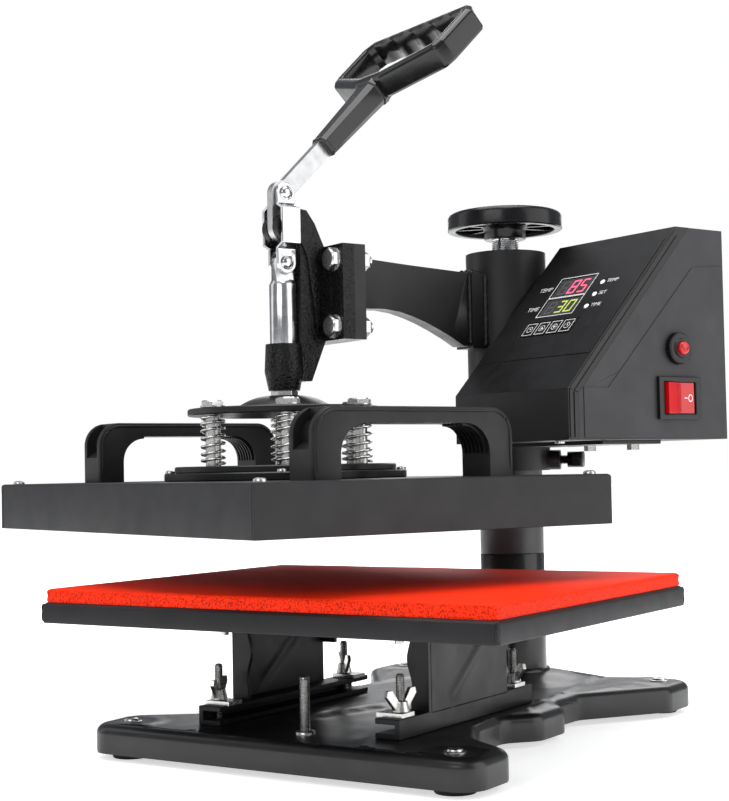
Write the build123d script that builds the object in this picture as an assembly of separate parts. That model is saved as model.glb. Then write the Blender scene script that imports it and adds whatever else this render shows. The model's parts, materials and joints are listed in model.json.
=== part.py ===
from build123d import *
import math
import os

os.makedirs("parts", exist_ok=True)

# ---------------------------------------------------------------- frame
# millimetres, +X to the operator's right, +Y away from the operator, +Z up.
# Everything is drawn about the post axis on the floor and then shifted so that
# the middle of the footprint of the whole press is the origin.
SHIFT_X = 56.7645
SHIFT_Y = 147.4742
SWING_DEG = -21.9          # the head stands this far round from closed
ARM_REACH = 184.5          # post axis to plunger axis

# ---------------------------------------------------------------- base
FOOT_R = 13.0
FOOT_H = 5.0
FRONT_FOOT_X = 108.7
FRONT_FOOT_Y = -274.0
REAR_FOOT_X = 99.0
REAR_FOOT_Y = 17.0
BASE_BOTTOM = 3.5
BASE_TOP = 20.0
BASE_SHEET = 3.0
BASE_EDGE_R = 4.0
BASE_CORNER_R = 15.0
BOSS_TOP = 25.0
BOSS_R = 36.0
HOLE_R = 2.6
STUD_HOLE_X = 88.0
STUD_HOLE_Y = -283.0
POST_R = 21.9
POST_SEAM_Z = 105.0
POST_TOP = 285.0
POST_WALL = 4.0
SCREW_HEAD_R = 4.2
SCREW_HEAD_H = 2.4
SCREW_R = 2.5

# ---------------------------------------------------------------- lower platen
PAD_W = 300.0
PAD_D = 236.0
PAD_T = 7.9
PAD_TOP = 98.6
PLATEN_Y = -184.5
PAN_W = 303.0
PAN_D = 239.0
PAN_SHEET = 3.0
PAN_H = 12.0
LEG_X = 66.0
LEFT_LEG_SHIFT = -6.0
LEG_SHEET = 3.0
RAIL_IN = 50.5
RAIL_H = 11.0
RAIL_FRONT = -258.5
RAIL_REAR = -103.5
WEB_FRONT = -223.8
WEB_REAR = -136.0
WEB_IN = 54.0
LEG_TOP_FRONT = -254.0
LEG_TOP_REAR = -113.0
STUD_X = 60.0
STUD_FRONT_Y = -247.0
STUD_REAR_Y = -117.0
STUD_R = 2.5
STUD_TOP = 54.0
CLIP_IN = 12.0
CLIP_OUT = 5.0
CLIP_W = 13.0
CLIP_T = 2.4
WING_HUB_R = 5.0
WING_HUB_H = 5.5
WING_SPAN = 13.0
WING_T = 2.2
WING_RISE = 12.0
CENTRE_STUD_R = 3.0
CENTRE_STUD_Y = -252.0
CENTRE_STUD_TOP = 50.0
PLATEN_BOLT_X = 60.0
PLATEN_BOLT_Y = (-247.0, -123.0)
PLATEN_BOLT_R = 2.5
PLATEN_BOLT_END = 70.0

# ---------------------------------------------------------------- post sleeve and screw
SLEEVE_R = 27.8
SLEEVE_IN = 24.45
SLEEVE_BOTTOM = 162.0
SLEEVE_TOP = 313.0
CAP_T = 8.0
BUSH_R = 24.40
BUSH_IN = 21.95
BUSH_BOTTOM = 170.0
BUSH_TOP = 280.0
JACK_R = 9.5
JACK_HOLE_R = 9.56
HUB_R = 14.4
HUB_BOTTOM = 323.4
HUB_TOP = 328.5
WHEEL_R = 40.0
WHEEL_BOTTOM = 329.5
WHEEL_TOP = 342.2
WHEEL_RIM = 6.0
WHEEL_PLATE = 4.0

# ---------------------------------------------------------------- arm
ARM_HALF = 6.0
FLANGE_HALF = 28.0
FLANGE_BOTTOM = 247.0
FLANGE_TOP = 307.5
ARM_FLANGE_BACK = -139.8
FLANGE_MID = -148.3
CAST_FLANGE_FRONT = -157.2
SADDLE_HALF = 9.0
SADDLE_BOTTOM = 246.0
SADDLE_TOP = 297.5
SADDLE_FRONT = 38.0
BOLT_X = 18.5
BOLT_Z = (255.5, 298.0)
BOLT_R = 4.0
BOLT_AF = 13.0
BOLT_HEAD = 5.5
NUT_H = 6.5

# ---------------------------------------------------------------- toggle
PIVOT_Z = 318.1
CRANK = 22.0
LINK = 44.1
PIN_R = 3.5
PIN_HOLE = 3.56
CHEEK_IN = 3.5
CHEEK_OUT = 9.0
CHEEK_R = 9.0
LEVER_HALF_T = 3.0
LEVER_HALF_W = 8.5
STRAP_IN = 3.5
STRAP_T = 2.5
STRAP_HALF_W = 6.8
STRAP_BULGE_IN = 9.7
ROD_R = 8.5
ROD_HOLE = 8.56
ROD_TOP = 288.2
TANG_HALF_T = 3.0
COLLAR_BOTTOM = 215.3
COLLAR_TOP = 244.7
COLLAR_R = 12.3
COLLAR_R_TOP = 11.4
COLLAR_R_BOTTOM = 9.9
GUSSET_HALF = 7.0
GUSSET_FRONT = -175.3
LEVER_LEAN_DEG = 45.0
GRIP_START = 45.0
GRIP_END = 112.0
GRIP_HALF_W0 = 7.6
GRIP_HALF_W1 = 9.8
GRIP_HALF_T0 = 7.2
GRIP_HALF_T1 = 9.0
GRIP_ROUND = 4.5
BAR_HALF_W = 5.8
RING_S0 = 104.0
RING_S1 = 168.0
RING_HALF_W = 60.0
RING_SHIFT = 4.0
RING_BAND = 8.5
RING_UP = 10.5
RING_DOWN = 6.5

# ---------------------------------------------------------------- press unit
PLATE_BOTTOM = 200.0
PLATE_TOP = 204.3
PLATE_R = 61.0
DOME_TOP = 212.2
DOME_R = 31.0
DOME_TOP_R = 9.5
SPRING_CIRCLE = 52.0
SPRING_N = 6
SPRING_FIRST_DEG = 30.0
SPRING_BOTTOM = 168.9
SPRING_TOP = 199.9
SPRING_MEAN_R = 6.9
SPRING_WIRE_R = 0.85
SPRING_TURNS = 7.0
GUIDE_R = 4.6
GUIDE_HOLE = 5.2
GUIDE_HEAD_AF = 14.0
GUIDE_HEAD_H = 4.4
GUIDE_WASHER_R = 8.2
DISC_LOW_R = 76.0
DISC_UP_R = 69.5
DISC_LOW_T = 5.0
DISC_UP_T = 4.0

# ---------------------------------------------------------------- upper platen
COVER_W = 329.0
COVER_D = 244.4
COVER_TOP = 159.5
COVER_BOTTOM = 130.2
COVER_SHEET = 1.5
HEAT_W = 300.0
HEAT_D = 236.0
HEAT_T = 12.0
HEAT_RECESS = 0.0
BOW_X = 130.0
BOW_W = 25.5
BOW_FRONT = -256.5
BOW_REAR = -118.5
BOW_TOP = 199.3
BOW_BAR = 9.3
BOW_LEG = 17.5
BOW_ARCH_R = 17.0
BOW_CORNER_R = 15.0
BOW_SLOT_W = 15.0
BOW_SLOT_D = 6.0

# ---------------------------------------------------------------- control box
BOX_L = 30.0
BOX_R = 138.5
BOX_FRONT = -71.0
BOX_REAR = 67.0
BOX_BOTTOM = 180.0
BOX_KNEE = 211.5
BOX_RIDGE_Y = 24.0
BOX_TOP = 315.5
SHELL_T = 8.5
COVER_T = 1.8
WIN_DEPTH = 1.6
WIN_X = (59.5, 93.0)
WIN_S = ((36.5, 54.0), (55.8, 71.8))
LAMP_X = 103.2
LAMP_S = (45.0, 56.0, 67.0)
LAMP_R = 1.9
KEY_X0 = 61.9
KEY_PITCH = 11.9
KEY_N = 4
KEY_S = 84.0
KEY_W = 10.6
KEY_H = 12.0
KEY_DEEP = 3.0
KEY_PROUD = 0.7
KEY_GAP = 0.35
ROCKER_Y = 21.7
ROCKER_Z = 206.0
ROCKER_BEZEL = (37.0, 27.0)
ROCKER_WIN = (28.0, 20.4)
ROCKER_SIZE = (27.0, 19.6)
ROCKER_BEZEL_T = 3.0
ROCKER_TILT = 7.0
ROCKER_PIVOT_R = 0.9
RESET_Y = 21.7
RESET_Z = 237.4
RESET_R = 10.0
RESET_NUT_T = 5.0
RESET_CAP_R = 4.3
RESET_OUT = 8.6
GLAND_X = 95.0
GLAND_Z = 200.0
GLAND_R = 9.0
GLAND_L = 16.0
CLAMP_DEG = 42.0
CLAMP_Z = 169.0
CLAMP_BOSS_R = 6.8
CLAMP_BOSS_OUT = 35.0
CLAMP_STUD_R = 3.0
CLAMP_STUD_OUT = 40.0
CLAMP_KNOB_OUT = 51.0
CLAMP_ARM = 9.0
EPS = 0.3


# ---------------------------------------------------------------- helpers
def box(x0, x1, y0, y1, z0, z1):
    middle = ((x0 + x1) / 2, (y0 + y1) / 2, (z0 + z1) / 2)
    return Pos(*middle) * Box(abs(x1 - x0), abs(y1 - y0), abs(z1 - z0))


def rod_z(x, y, radius, z0, z1):
    return Pos(x, y, (z0 + z1) / 2) * Cylinder(radius, z1 - z0)


def rod_x(y, z, radius, x0, x1):
    return Pos((x0 + x1) / 2, y, z) * Rot(0, 90, 0) * Cylinder(radius, x1 - x0)


def rod_y(x, z, radius, y0, y1):
    return Pos(x, (y0 + y1) / 2, z) * Rot(90, 0, 0) * Cylinder(radius, y1 - y0)


def tube_z(x, y, outer, inner, z0, z1):
    return rod_z(x, y, outer, z0, z1) - rod_z(x, y, inner, z0 - 1, z1 + 1)


def hex_z(x, y, across, z0, z1):
    radius = across / math.sqrt(3)
    face = Pos(x, y, z0) * RegularPolygon(radius, 6)
    return extrude(face, z1 - z0)


def hex_y(x, z, across, y0, y1):
    radius = across / math.sqrt(3)
    body = extrude(RegularPolygon(radius, 6), y1 - y0)
    return Pos(x, y1, z) * Rot(90, 0, 0) * body


def side_plate(points, x0, x1):
    """Closed outline in (y, z), as thick as x0..x1."""
    face = make_face(Polyline(*points, close=True))
    body = extrude(face, x1 - x0)
    return Plane(origin=(x0, 0, 0), x_dir=(0, 1, 0), z_dir=(1, 0, 0)) * body


def group(parts):
    flat = []
    for item in parts:
        flat.extend(item.solids())
    return Compound(children=flat)


def whole(shape):
    solids = shape.solids()
    if len(solids) == 1:
        return solids[0]
    return Compound(children=list(solids))


def mirror_x(shape):
    return mirror(shape, about=Plane.YZ)


def base_place(shape):
    return Pos(SHIFT_X, SHIFT_Y, 0) * shape


def head_place(shape):
    return Pos(SHIFT_X, SHIFT_Y, 0) * Rot(0, 0, SWING_DEG) * shape


# ---------------------------------------------------------------- base pieces
def base_outline():
    right = [
        (129, -291), (129, -250), (97, -228), (77, -192), (74, -158), (90, -140),
        (90, -106), (76, -92), (77, -62), (116, -6), (117, 35), (84, 37), (62, 28),
    ]
    left = [(-x, y) for x, y in reversed(right)]
    return right + left


def base_plate():
    face = make_face(Polyline(*base_outline(), close=True))
    face = fillet(face.vertices(), BASE_CORNER_R)
    outer = Pos(0, 0, BASE_BOTTOM) * extrude(face, BASE_TOP - BASE_BOTTOM)
    top_edges = outer.edges().group_by(Axis.Z)[-1]
    outer = fillet(top_edges, BASE_EDGE_R)
    inner_face = offset(face, -BASE_SHEET)
    depth = BASE_TOP - BASE_SHEET - BASE_BOTTOM
    inner = Pos(0, 0, BASE_BOTTOM - 1) * extrude(inner_face, depth + 1)
    boss = Pos(0, 0, BASE_TOP - 1) * Cone(BOSS_R, POST_R + 3, BOSS_TOP - BASE_TOP + 1,
                                          align=(Align.CENTER, Align.CENTER, Align.MIN))
    body = outer - inner + boss
    for x, y in feet_points():
        body = body + rod_z(x, y, FOOT_R, FOOT_H, BASE_TOP - 1)
    for x, y in feet_points():
        body = body - rod_z(x, y, SCREW_R + 0.1, 0, BASE_TOP + 1)
    for side in (-1, 1):
        body = body - rod_z(side * STUD_HOLE_X, STUD_HOLE_Y, HOLE_R, 0, BASE_TOP + 1)
    for x, y in stud_points():
        body = body - rod_z(x, y, STUD_R, 0, BASE_TOP + 1)
    body = body - rod_z(0, CENTRE_STUD_Y, CENTRE_STUD_R, 0, BASE_TOP + 1)
    return whole(body)


def feet_points():
    return [
        (-FRONT_FOOT_X, FRONT_FOOT_Y), (FRONT_FOOT_X, FRONT_FOOT_Y),
        (-REAR_FOOT_X, REAR_FOOT_Y), (REAR_FOOT_X, REAR_FOOT_Y),
    ]


def rubber_feet():
    feet = []
    for x, y in feet_points():
        foot = Pos(x, y, 0) * Cone(FOOT_R - 2, FOOT_R - 0.5, FOOT_H,
                                   align=(Align.CENTER, Align.CENTER, Align.MIN))
        foot = foot - rod_z(x, y, SCREW_R, 1.5, FOOT_H + 1)
        feet.append(foot)
    return group(feet)


def pan_screw(x, y, z, radius, height, shank, length):
    head = rod_z(x, y, radius, z, z + height)
    head = fillet(head.edges().group_by(Axis.Z)[-1], height * 0.6)
    if length > 0:
        head = head + rod_z(x, y, shank, z - length, z + 0.1)
    return head


def foot_screws():
    screws = []
    for x, y in feet_points():
        screws.append(pan_screw(x, y, BASE_TOP, SCREW_HEAD_R, SCREW_HEAD_H, SCREW_R, BASE_TOP - 1.6))
    return group(screws)


def post_lower():
    return tube_z(0, 0, POST_R + 0.15, POST_R - POST_WALL, BOSS_TOP, POST_SEAM_Z)


def post_upper():
    tube = tube_z(0, 0, POST_R, POST_R - POST_WALL, POST_SEAM_Z, POST_TOP)
    plug = rod_z(0, 0, POST_R, POST_TOP - 6, POST_TOP)
    return whole(tube + plug)


def leg(side):
    z0 = BASE_TOP
    z1 = BASE_TOP + RAIL_H
    t = LEG_SHEET
    top = PAD_TOP - PAD_T - PAN_SHEET
    rail = box(RAIL_IN, LEG_X, RAIL_FRONT, RAIL_REAR, z0, z1)
    rail = fillet(rail.edges().filter_by(Axis.Y), 2.4)
    rail = rail - box(RAIL_IN - 1, LEG_X - t, RAIL_FRONT - 1, RAIL_REAR + 1, z0 + t, z1 - t)
    web_points = [
        (WEB_FRONT, z1 - 1), (WEB_FRONT, top), (WEB_REAR, top),
        (WEB_REAR, z1 - 1),
    ]
    web = side_plate(web_points, LEG_X - t, LEG_X)
    front = box(WEB_IN, LEG_X, WEB_FRONT - t, WEB_FRONT, z1 - 1, top)
    rear = box(WEB_IN, LEG_X, WEB_REAR, WEB_REAR + t, z1 + 24, top)
    flange = box(RAIL_IN, LEG_X, LEG_TOP_FRONT, LEG_TOP_REAR, top - t, top)
    rib_points = [
        (WEB_FRONT + 22, z1 + 6), (WEB_FRONT + 26, z1 + 6),
        (WEB_REAR - 12, top - 12), (WEB_REAR - 16, top - 12),
    ]
    rib = side_plate(rib_points, LEG_X - 0.5, LEG_X + 0.8)
    body = rail + web + front + rear + flange + rib
    for y in (STUD_FRONT_Y, STUD_REAR_Y):
        body = body - rod_z(STUD_X, y, STUD_R, z0 - 1, z1 + 1)
    bolt_shift = LEFT_LEG_SHIFT if side < 0 else 0.0
    for y in PLATEN_BOLT_Y:
        body = body - rod_z(PLATEN_BOLT_X, y - bolt_shift, PLATEN_BOLT_R, top - t - 1, top + 1)
    body = whole(body)
    if side < 0:
        body = Pos(0, LEFT_LEG_SHIFT, 0) * mirror_x(body)
    return body


def stud_points():
    points = []
    for side in (-1, 1):
        for y in (STUD_FRONT_Y, STUD_REAR_Y):
            points.append((side * STUD_X, y + (LEFT_LEG_SHIFT if side < 0 else 0.0)))
    return points


def rail_studs():
    studs = []
    for x, y in stud_points():
        shank = rod_z(x, y, STUD_R, BASE_TOP - BASE_SHEET - 3, STUD_TOP)
        head = rod_z(x, y, SCREW_HEAD_R, BASE_TOP - BASE_SHEET - 3, BASE_TOP - BASE_SHEET)
        studs.append(shank + head)
    return group(studs)


def rail_clips():
    clips = []
    z = BASE_TOP + RAIL_H
    for x, y in stud_points():
        side = math.copysign(1, x)
        plate = box(x - side * CLIP_IN, x + side * CLIP_OUT, y - CLIP_W / 2, y + CLIP_W / 2, z, z + CLIP_T)
        clips.append(plate - rod_z(x, y, STUD_R, z - 1, z + CLIP_T + 1))
    return group(clips)


def wing_nut(x, y, turn_deg):
    z = BASE_TOP + RAIL_H + CLIP_T + 0.35
    hub = Pos(x, y, z) * Cone(WING_HUB_R, WING_HUB_R - 1.2, WING_HUB_H,
                              align=(Align.CENTER, Align.CENTER, Align.MIN))
    wing_points = [
        (WING_HUB_R - 2.2, 0.8), (WING_HUB_R, 0.8), (WING_SPAN, WING_RISE - 3),
        (WING_SPAN - 1, WING_RISE), (WING_SPAN - 5, WING_RISE), (WING_HUB_R - 2.4, WING_HUB_H - 0.2),
    ]
    face = make_face(Polyline(*wing_points, close=True))
    blade = Pos(0, WING_T / 2, 0) * Rot(90, 0, 0) * extrude(face, WING_T)
    wings = blade + Rot(0, 0, 180) * blade
    nut = hub + Pos(x, y, z) * Rot(0, 0, turn_deg) * wings
    nut = nut - rod_z(x, y, STUD_R + 0.06, z - 1, z + WING_RISE + 1)
    return whole(nut)


def centre_stud():
    head = rod_z(0, CENTRE_STUD_Y, SCREW_HEAD_R + 0.8, BASE_TOP - BASE_SHEET - 3, BASE_TOP - BASE_SHEET)
    return whole(rod_z(0, CENTRE_STUD_Y, CENTRE_STUD_R, BASE_TOP - BASE_SHEET - 3, CENTRE_STUD_TOP) + head)


def lower_platen():
    top = PAD_TOP - PAD_T
    y0 = PLATEN_Y - PAN_D / 2
    y1 = PLATEN_Y + PAN_D / 2
    half = PAN_W / 2
    outer = box(-half, half, y0, y1, top - PAN_H, top)
    outer = chamfer(outer.edges().group_by(Axis.Z)[-1], 1.8)
    t = PAN_SHEET
    inner = box(-half + t, half - t, y0 + t, y1 - t, top - PAN_H - 1, top - t)
    body = outer - inner
    for x, y in platen_bolt_points():
        body = body - rod_z(x, y, PLATEN_BOLT_R, top - PAN_H, top + 1)
    return whole(body)


def platen_bolt_points():
    points = []
    for side in (-1, 1):
        for y in PLATEN_BOLT_Y:
            points.append((side * PLATEN_BOLT_X, y))
    return points


def platen_bolts():
    bolts = []
    top = PAD_TOP - PAD_T
    seat = top - PAN_SHEET - LEG_SHEET
    for x, y in platen_bolt_points():
        shank = rod_z(x, y, PLATEN_BOLT_R, PLATEN_BOLT_END, top - 0.1)
        nut = hex_z(x, y, 8.0, seat - 4.0, seat)
        bolts.append(shank + nut)
    return group(bolts)


def foam_pad():
    y0 = PLATEN_Y - PAD_D / 2
    y1 = PLATEN_Y + PAD_D / 2
    return box(-PAD_W / 2, PAD_W / 2, y0, y1, PAD_TOP - PAD_T, PAD_TOP)


# ---------------------------------------------------------------- height group
def lift_bush():
    return whole(tube_z(0, 0, BUSH_R, BUSH_IN, BUSH_BOTTOM, BUSH_TOP))


def jack_screw():
    body = rod_z(0, 0, JACK_R, POST_TOP + EPS, HUB_BOTTOM)
    body = body + rod_z(0, 0, JACK_R - 2, HUB_BOTTOM - 1, WHEEL_BOTTOM + 3)
    return whole(body)


def handwheel():
    rim = tube_z(0, 0, WHEEL_R, WHEEL_R - WHEEL_RIM, WHEEL_BOTTOM, WHEEL_TOP - 1)
    plate = rod_z(0, 0, WHEEL_R, WHEEL_TOP - WHEEL_PLATE, WHEEL_TOP)
    plate = fillet(plate.edges().group_by(Axis.Z)[-1], 2.5)
    hub = rod_z(0, 0, HUB_R, HUB_BOTTOM, HUB_TOP + 3)
    hub = hub + Pos(0, 0, HUB_TOP) * Cone(HUB_R, HUB_R + 8, WHEEL_TOP - 1 - HUB_TOP,
                                          align=(Align.CENTER, Align.CENTER, Align.MIN))
    body = rim + plate + hub
    for k in range(5):
        spoke = box(HUB_R, WHEEL_R - 2, -1.5, 1.5, WHEEL_BOTTOM + 4, WHEEL_TOP - 2)
        body = body + Rot(0, 0, 72 * k + 20) * spoke
    body = body - rod_z(0, 0, JACK_R - 2, HUB_BOTTOM - 1, WHEEL_BOTTOM + 3)
    return whole(body)


# ---------------------------------------------------------------- head pieces
def clamp_axis(r0, r1, radius):
    body = rod_x(0, CLAMP_Z, radius, r0, r1)
    return Rot(0, 0, CLAMP_DEG) * body


def head_sleeve():
    tube = tube_z(0, 0, SLEEVE_R, SLEEVE_IN, SLEEVE_BOTTOM, SLEEVE_TOP)
    cap = rod_z(0, 0, SLEEVE_R - 1, SLEEVE_TOP - CAP_T, SLEEVE_TOP)
    body = tube + cap
    body = body - rod_z(0, 0, JACK_HOLE_R, SLEEVE_TOP - CAP_T - 1, SLEEVE_TOP + 1)
    body = body + (clamp_axis(SLEEVE_R - 2, CLAMP_BOSS_OUT, CLAMP_BOSS_R)
                   - rod_z(0, 0, SLEEVE_IN, SLEEVE_BOTTOM - 1, SLEEVE_TOP))
    body = body - clamp_axis(SLEEVE_IN - 3, CLAMP_BOSS_OUT + 1, CLAMP_STUD_R + 0.06)
    return whole(body)


def arm_plate():
    points = [
        (-SLEEVE_R + 1, 247.2), (-SLEEVE_R + 1, 297.0), (-40.0, 297.6), (-90.0, 300.0),
        (ARM_FLANGE_BACK - 1, 303.2), (ARM_FLANGE_BACK - 1, 268.8), (-124.0, 269.4),
        (-109.5, 269.8), (-97.0, 268.4), (-85.3, 265.4), (-75.0, 262.0), (-64.7, 257.8),
        (-54.0, 252.9), (-43.7, 247.4),
    ]
    web = side_plate(points, -ARM_HALF, ARM_HALF)
    saddle = box(-SADDLE_HALF, SADDLE_HALF, -SADDLE_FRONT, -SLEEVE_R + 6, SADDLE_BOTTOM, SADDLE_TOP)
    flange = box(-FLANGE_HALF, FLANGE_HALF, FLANGE_MID, ARM_FLANGE_BACK, FLANGE_BOTTOM, FLANGE_TOP)
    body = web + saddle + flange
    body = body - rod_z(0, 0, SLEEVE_R, FLANGE_BOTTOM - 30, FLANGE_TOP + 10)
    for x in (-BOLT_X, BOLT_X):
        for z in BOLT_Z:
            body = body - rod_y(x, z, BOLT_R, FLANGE_MID - 1, ARM_FLANGE_BACK + 1)
    return whole(body)


def toggle_casting():
    flange = box(-FLANGE_HALF, FLANGE_HALF, CAST_FLANGE_FRONT, FLANGE_MID, FLANGE_BOTTOM, FLANGE_TOP)
    gusset_points = [
        (CAST_FLANGE_FRONT + 1, FLANGE_BOTTOM + 2), (CAST_FLANGE_FRONT + 1, FLANGE_TOP - 2),
        (-164.0, 322.0), (-170.0, 330.0), (-174.0, 330.5), (GUSSET_FRONT, 326.0),
        (GUSSET_FRONT, COLLAR_BOTTOM + 8), (-168.0, COLLAR_BOTTOM + 6),
    ]
    gusset = side_plate(gusset_points, -GUSSET_HALF, GUSSET_HALF)
    spread_points = [
        (-164.0, FLANGE_BOTTOM + 4), (-164.0, 318.0), (-170.0, 327.5),
        (GUSSET_FRONT, 327.5), (GUSSET_FRONT, 309.0), (-171.0, 300.0),
    ]
    spread = side_plate(spread_points, -CHEEK_OUT, CHEEK_OUT)
    body = flange + gusset + spread
    cheek_points = [
        (GUSSET_FRONT - 1, PIVOT_Z - CHEEK_R), (-ARM_REACH, PIVOT_Z - CHEEK_R),
        (-ARM_REACH, PIVOT_Z + CHEEK_R), (GUSSET_FRONT - 1, PIVOT_Z + CHEEK_R),
        (GUSSET_FRONT + 4, PIVOT_Z + CHEEK_R), (GUSSET_FRONT + 4, PIVOT_Z - CHEEK_R),
    ]
    for x0, x1 in ((CHEEK_IN, CHEEK_OUT), (-CHEEK_OUT, -CHEEK_IN)):
        cheek = side_plate(cheek_points, x0, x1)
        cheek = cheek + rod_x(-ARM_REACH, PIVOT_Z, CHEEK_R, x0, x1)
        body = body + cheek
    sweep_clear = rod_x(-ARM_REACH, PIVOT_Z, CRANK / 2 + 1.0, -CHEEK_IN, CHEEK_IN)
    body = body - sweep_clear
    collar = Pos(0, -ARM_REACH, COLLAR_BOTTOM) * Cone(
        COLLAR_R_BOTTOM, COLLAR_R, 12, align=(Align.CENTER, Align.CENTER, Align.MIN))
    collar = collar + Pos(0, -ARM_REACH, COLLAR_BOTTOM + 12) * Cone(
        COLLAR_R, COLLAR_R_TOP, COLLAR_TOP - COLLAR_BOTTOM - 12,
        align=(Align.CENTER, Align.CENTER, Align.MIN))
    foot_points = [
        (-ARM_REACH + 8, COLLAR_BOTTOM + 6), (-ARM_REACH + 8, COLLAR_TOP),
        (CAST_FLANGE_FRONT + 1, FLANGE_BOTTOM + 14), (CAST_FLANGE_FRONT + 1, FLANGE_BOTTOM + 2),
        (-168.0, COLLAR_BOTTOM + 6),
    ]
    foot = side_plate(foot_points, -GUSSET_HALF, GUSSET_HALF)
    body = body + collar + foot
    body = body - rod_z(0, -ARM_REACH, ROD_HOLE, COLLAR_BOTTOM - 1, COLLAR_TOP + 1)
    body = body - rod_x(-ARM_REACH, PIVOT_Z, PIN_R, -20, 20)
    for x in (-BOLT_X, BOLT_X):
        for z in BOLT_Z:
            body = body - rod_y(x, z, BOLT_R, CAST_FLANGE_FRONT - 1, FLANGE_MID + 1)
    return whole(body)


def lever_pin():
    return rod_x(-ARM_REACH, PIVOT_Z, PIN_R, -CHEEK_OUT - 0.4, CHEEK_OUT + 0.4)


def flange_bolts():
    bolts = []
    for x in (-BOLT_X, BOLT_X):
        for z in BOLT_Z:
            head = hex_y(x, z, BOLT_AF, CAST_FLANGE_FRONT - BOLT_HEAD, CAST_FLANGE_FRONT)
            shank = rod_y(x, z, BOLT_R, CAST_FLANGE_FRONT - 1, ARM_FLANGE_BACK + NUT_H + 3)
            nut = hex_y(x, z, BOLT_AF, ARM_FLANGE_BACK, ARM_FLANGE_BACK + NUT_H)
            bolts.append(head + shank + nut)
    return group(bolts)


# ---------------------------------------------------------------- control box
def slope_frame():
    dy = BOX_RIDGE_Y - BOX_FRONT
    dz = BOX_TOP - BOX_KNEE
    return math.degrees(math.atan2(dz, dy)), math.hypot(dy, dz)


def on_slope(shape):
    """Shape drawn with +Y up the slope from the ridge (so -Y is down it) and +Z outward."""
    angle, _ = slope_frame()
    return Pos(0, BOX_RIDGE_Y, BOX_TOP) * Rot(angle, 0, 0) * shape


def slope_box(x0, x1, s0, s1, d0, d1):
    return on_slope(box(x0, x1, -s1, -s0, d0, d1))


def box_profile():
    return [
        (BOX_FRONT, BOX_BOTTOM), (BOX_FRONT, BOX_KNEE), (BOX_RIDGE_Y, BOX_TOP),
        (BOX_REAR, BOX_TOP), (BOX_REAR, BOX_BOTTOM),
    ]


def split_profile():
    return [
        (BOX_FRONT - 1, BOX_BOTTOM - 1), (BOX_FRONT - 1, BOX_KNEE + 1), (BOX_RIDGE_Y, BOX_TOP + 3),
        (BOX_RIDGE_Y + 12, BOX_TOP + 3), (BOX_RIDGE_Y + 12, BOX_TOP),
        (BOX_FRONT + SHELL_T, BOX_KNEE - 3), (BOX_FRONT + SHELL_T, BOX_BOTTOM - 1),
    ]


def key_x(index):
    return KEY_X0 + index * KEY_PITCH


def box_front():
    full = side_plate(box_profile(), BOX_L, BOX_R)
    body = full & side_plate(split_profile(), BOX_L - 1, BOX_R + 1)
    for s0, s1 in WIN_S:
        body = body - slope_box(WIN_X[0], WIN_X[1], s0, s1, -WIN_DEPTH, 1)
    for s in LAMP_S:
        body = body - on_slope(Pos(LAMP_X, -s, 0) * Cylinder(LAMP_R, 2 * WIN_DEPTH))
    for k in range(KEY_N):
        x = key_x(k)
        half = KEY_W / 2 + KEY_GAP
        tall = KEY_H / 2 + KEY_GAP
        body = body - slope_box(x - half, x + half, KEY_S - tall, KEY_S + tall, -KEY_DEEP - 0.9, 1)
    return whole(body)


def box_rear():
    outer = side_plate(box_profile(), BOX_L, BOX_R) - side_plate(split_profile(), BOX_L - 1, BOX_R + 1)
    t = COVER_T
    inner_points = [
        (BOX_FRONT - 5, BOX_BOTTOM + t), (BOX_FRONT - 5, BOX_KNEE), (BOX_RIDGE_Y - 5, BOX_TOP - t),
        (BOX_REAR - t, BOX_TOP - t), (BOX_REAR - t, BOX_BOTTOM + t),
    ]
    inner = side_plate(inner_points, BOX_L + t, BOX_R - t)
    body = outer - inner
    body = body - rod_x(RESET_Y, RESET_Z, RESET_CAP_R + 1.6, BOX_R - 4, BOX_R + 1)
    window = box(BOX_R - 4, BOX_R + 1, ROCKER_Y - ROCKER_WIN[0] / 2 - 1, ROCKER_Y + ROCKER_WIN[0] / 2 + 1,
                 ROCKER_Z - ROCKER_WIN[1] / 2 - 1, ROCKER_Z + ROCKER_WIN[1] / 2 + 1)
    body = body - window
    body = body - rod_y(GLAND_X, GLAND_Z, GLAND_R - 2, BOX_REAR - 4, BOX_REAR + 1)
    return whole(body)


def display_windows():
    panes = []
    for s0, s1 in WIN_S:
        panes.append(slope_box(WIN_X[0], WIN_X[1], s0, s1, -WIN_DEPTH, -0.2))
    return group(panes)


def led_lamps():
    lamps = []
    for s in LAMP_S:
        lamps.append(on_slope(Pos(LAMP_X, -s, -WIN_DEPTH / 2) * Cylinder(LAMP_R, WIN_DEPTH)))
    return group(lamps)


def key(index):
    x = key_x(index)
    return slope_box(x - KEY_W / 2, x + KEY_W / 2, KEY_S - KEY_H / 2, KEY_S + KEY_H / 2, -KEY_DEEP, KEY_PROUD)


def rocker_bezel():
    w, h = ROCKER_BEZEL
    ww, wh = ROCKER_WIN
    x0 = BOX_R
    outer = box(x0, x0 + ROCKER_BEZEL_T, ROCKER_Y - w / 2, ROCKER_Y + w / 2, ROCKER_Z - h / 2, ROCKER_Z + h / 2)
    sleeve = box(x0 - 14, x0 + 1, ROCKER_Y - ww / 2 - 1, ROCKER_Y + ww / 2 + 1,
                 ROCKER_Z - wh / 2 - 1, ROCKER_Z + wh / 2 + 1)
    hole = box(x0 - 12.5, x0 + 5, ROCKER_Y - ww / 2, ROCKER_Y + ww / 2, ROCKER_Z - wh / 2, ROCKER_Z + wh / 2)
    return whole(outer + sleeve - hole)


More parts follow.
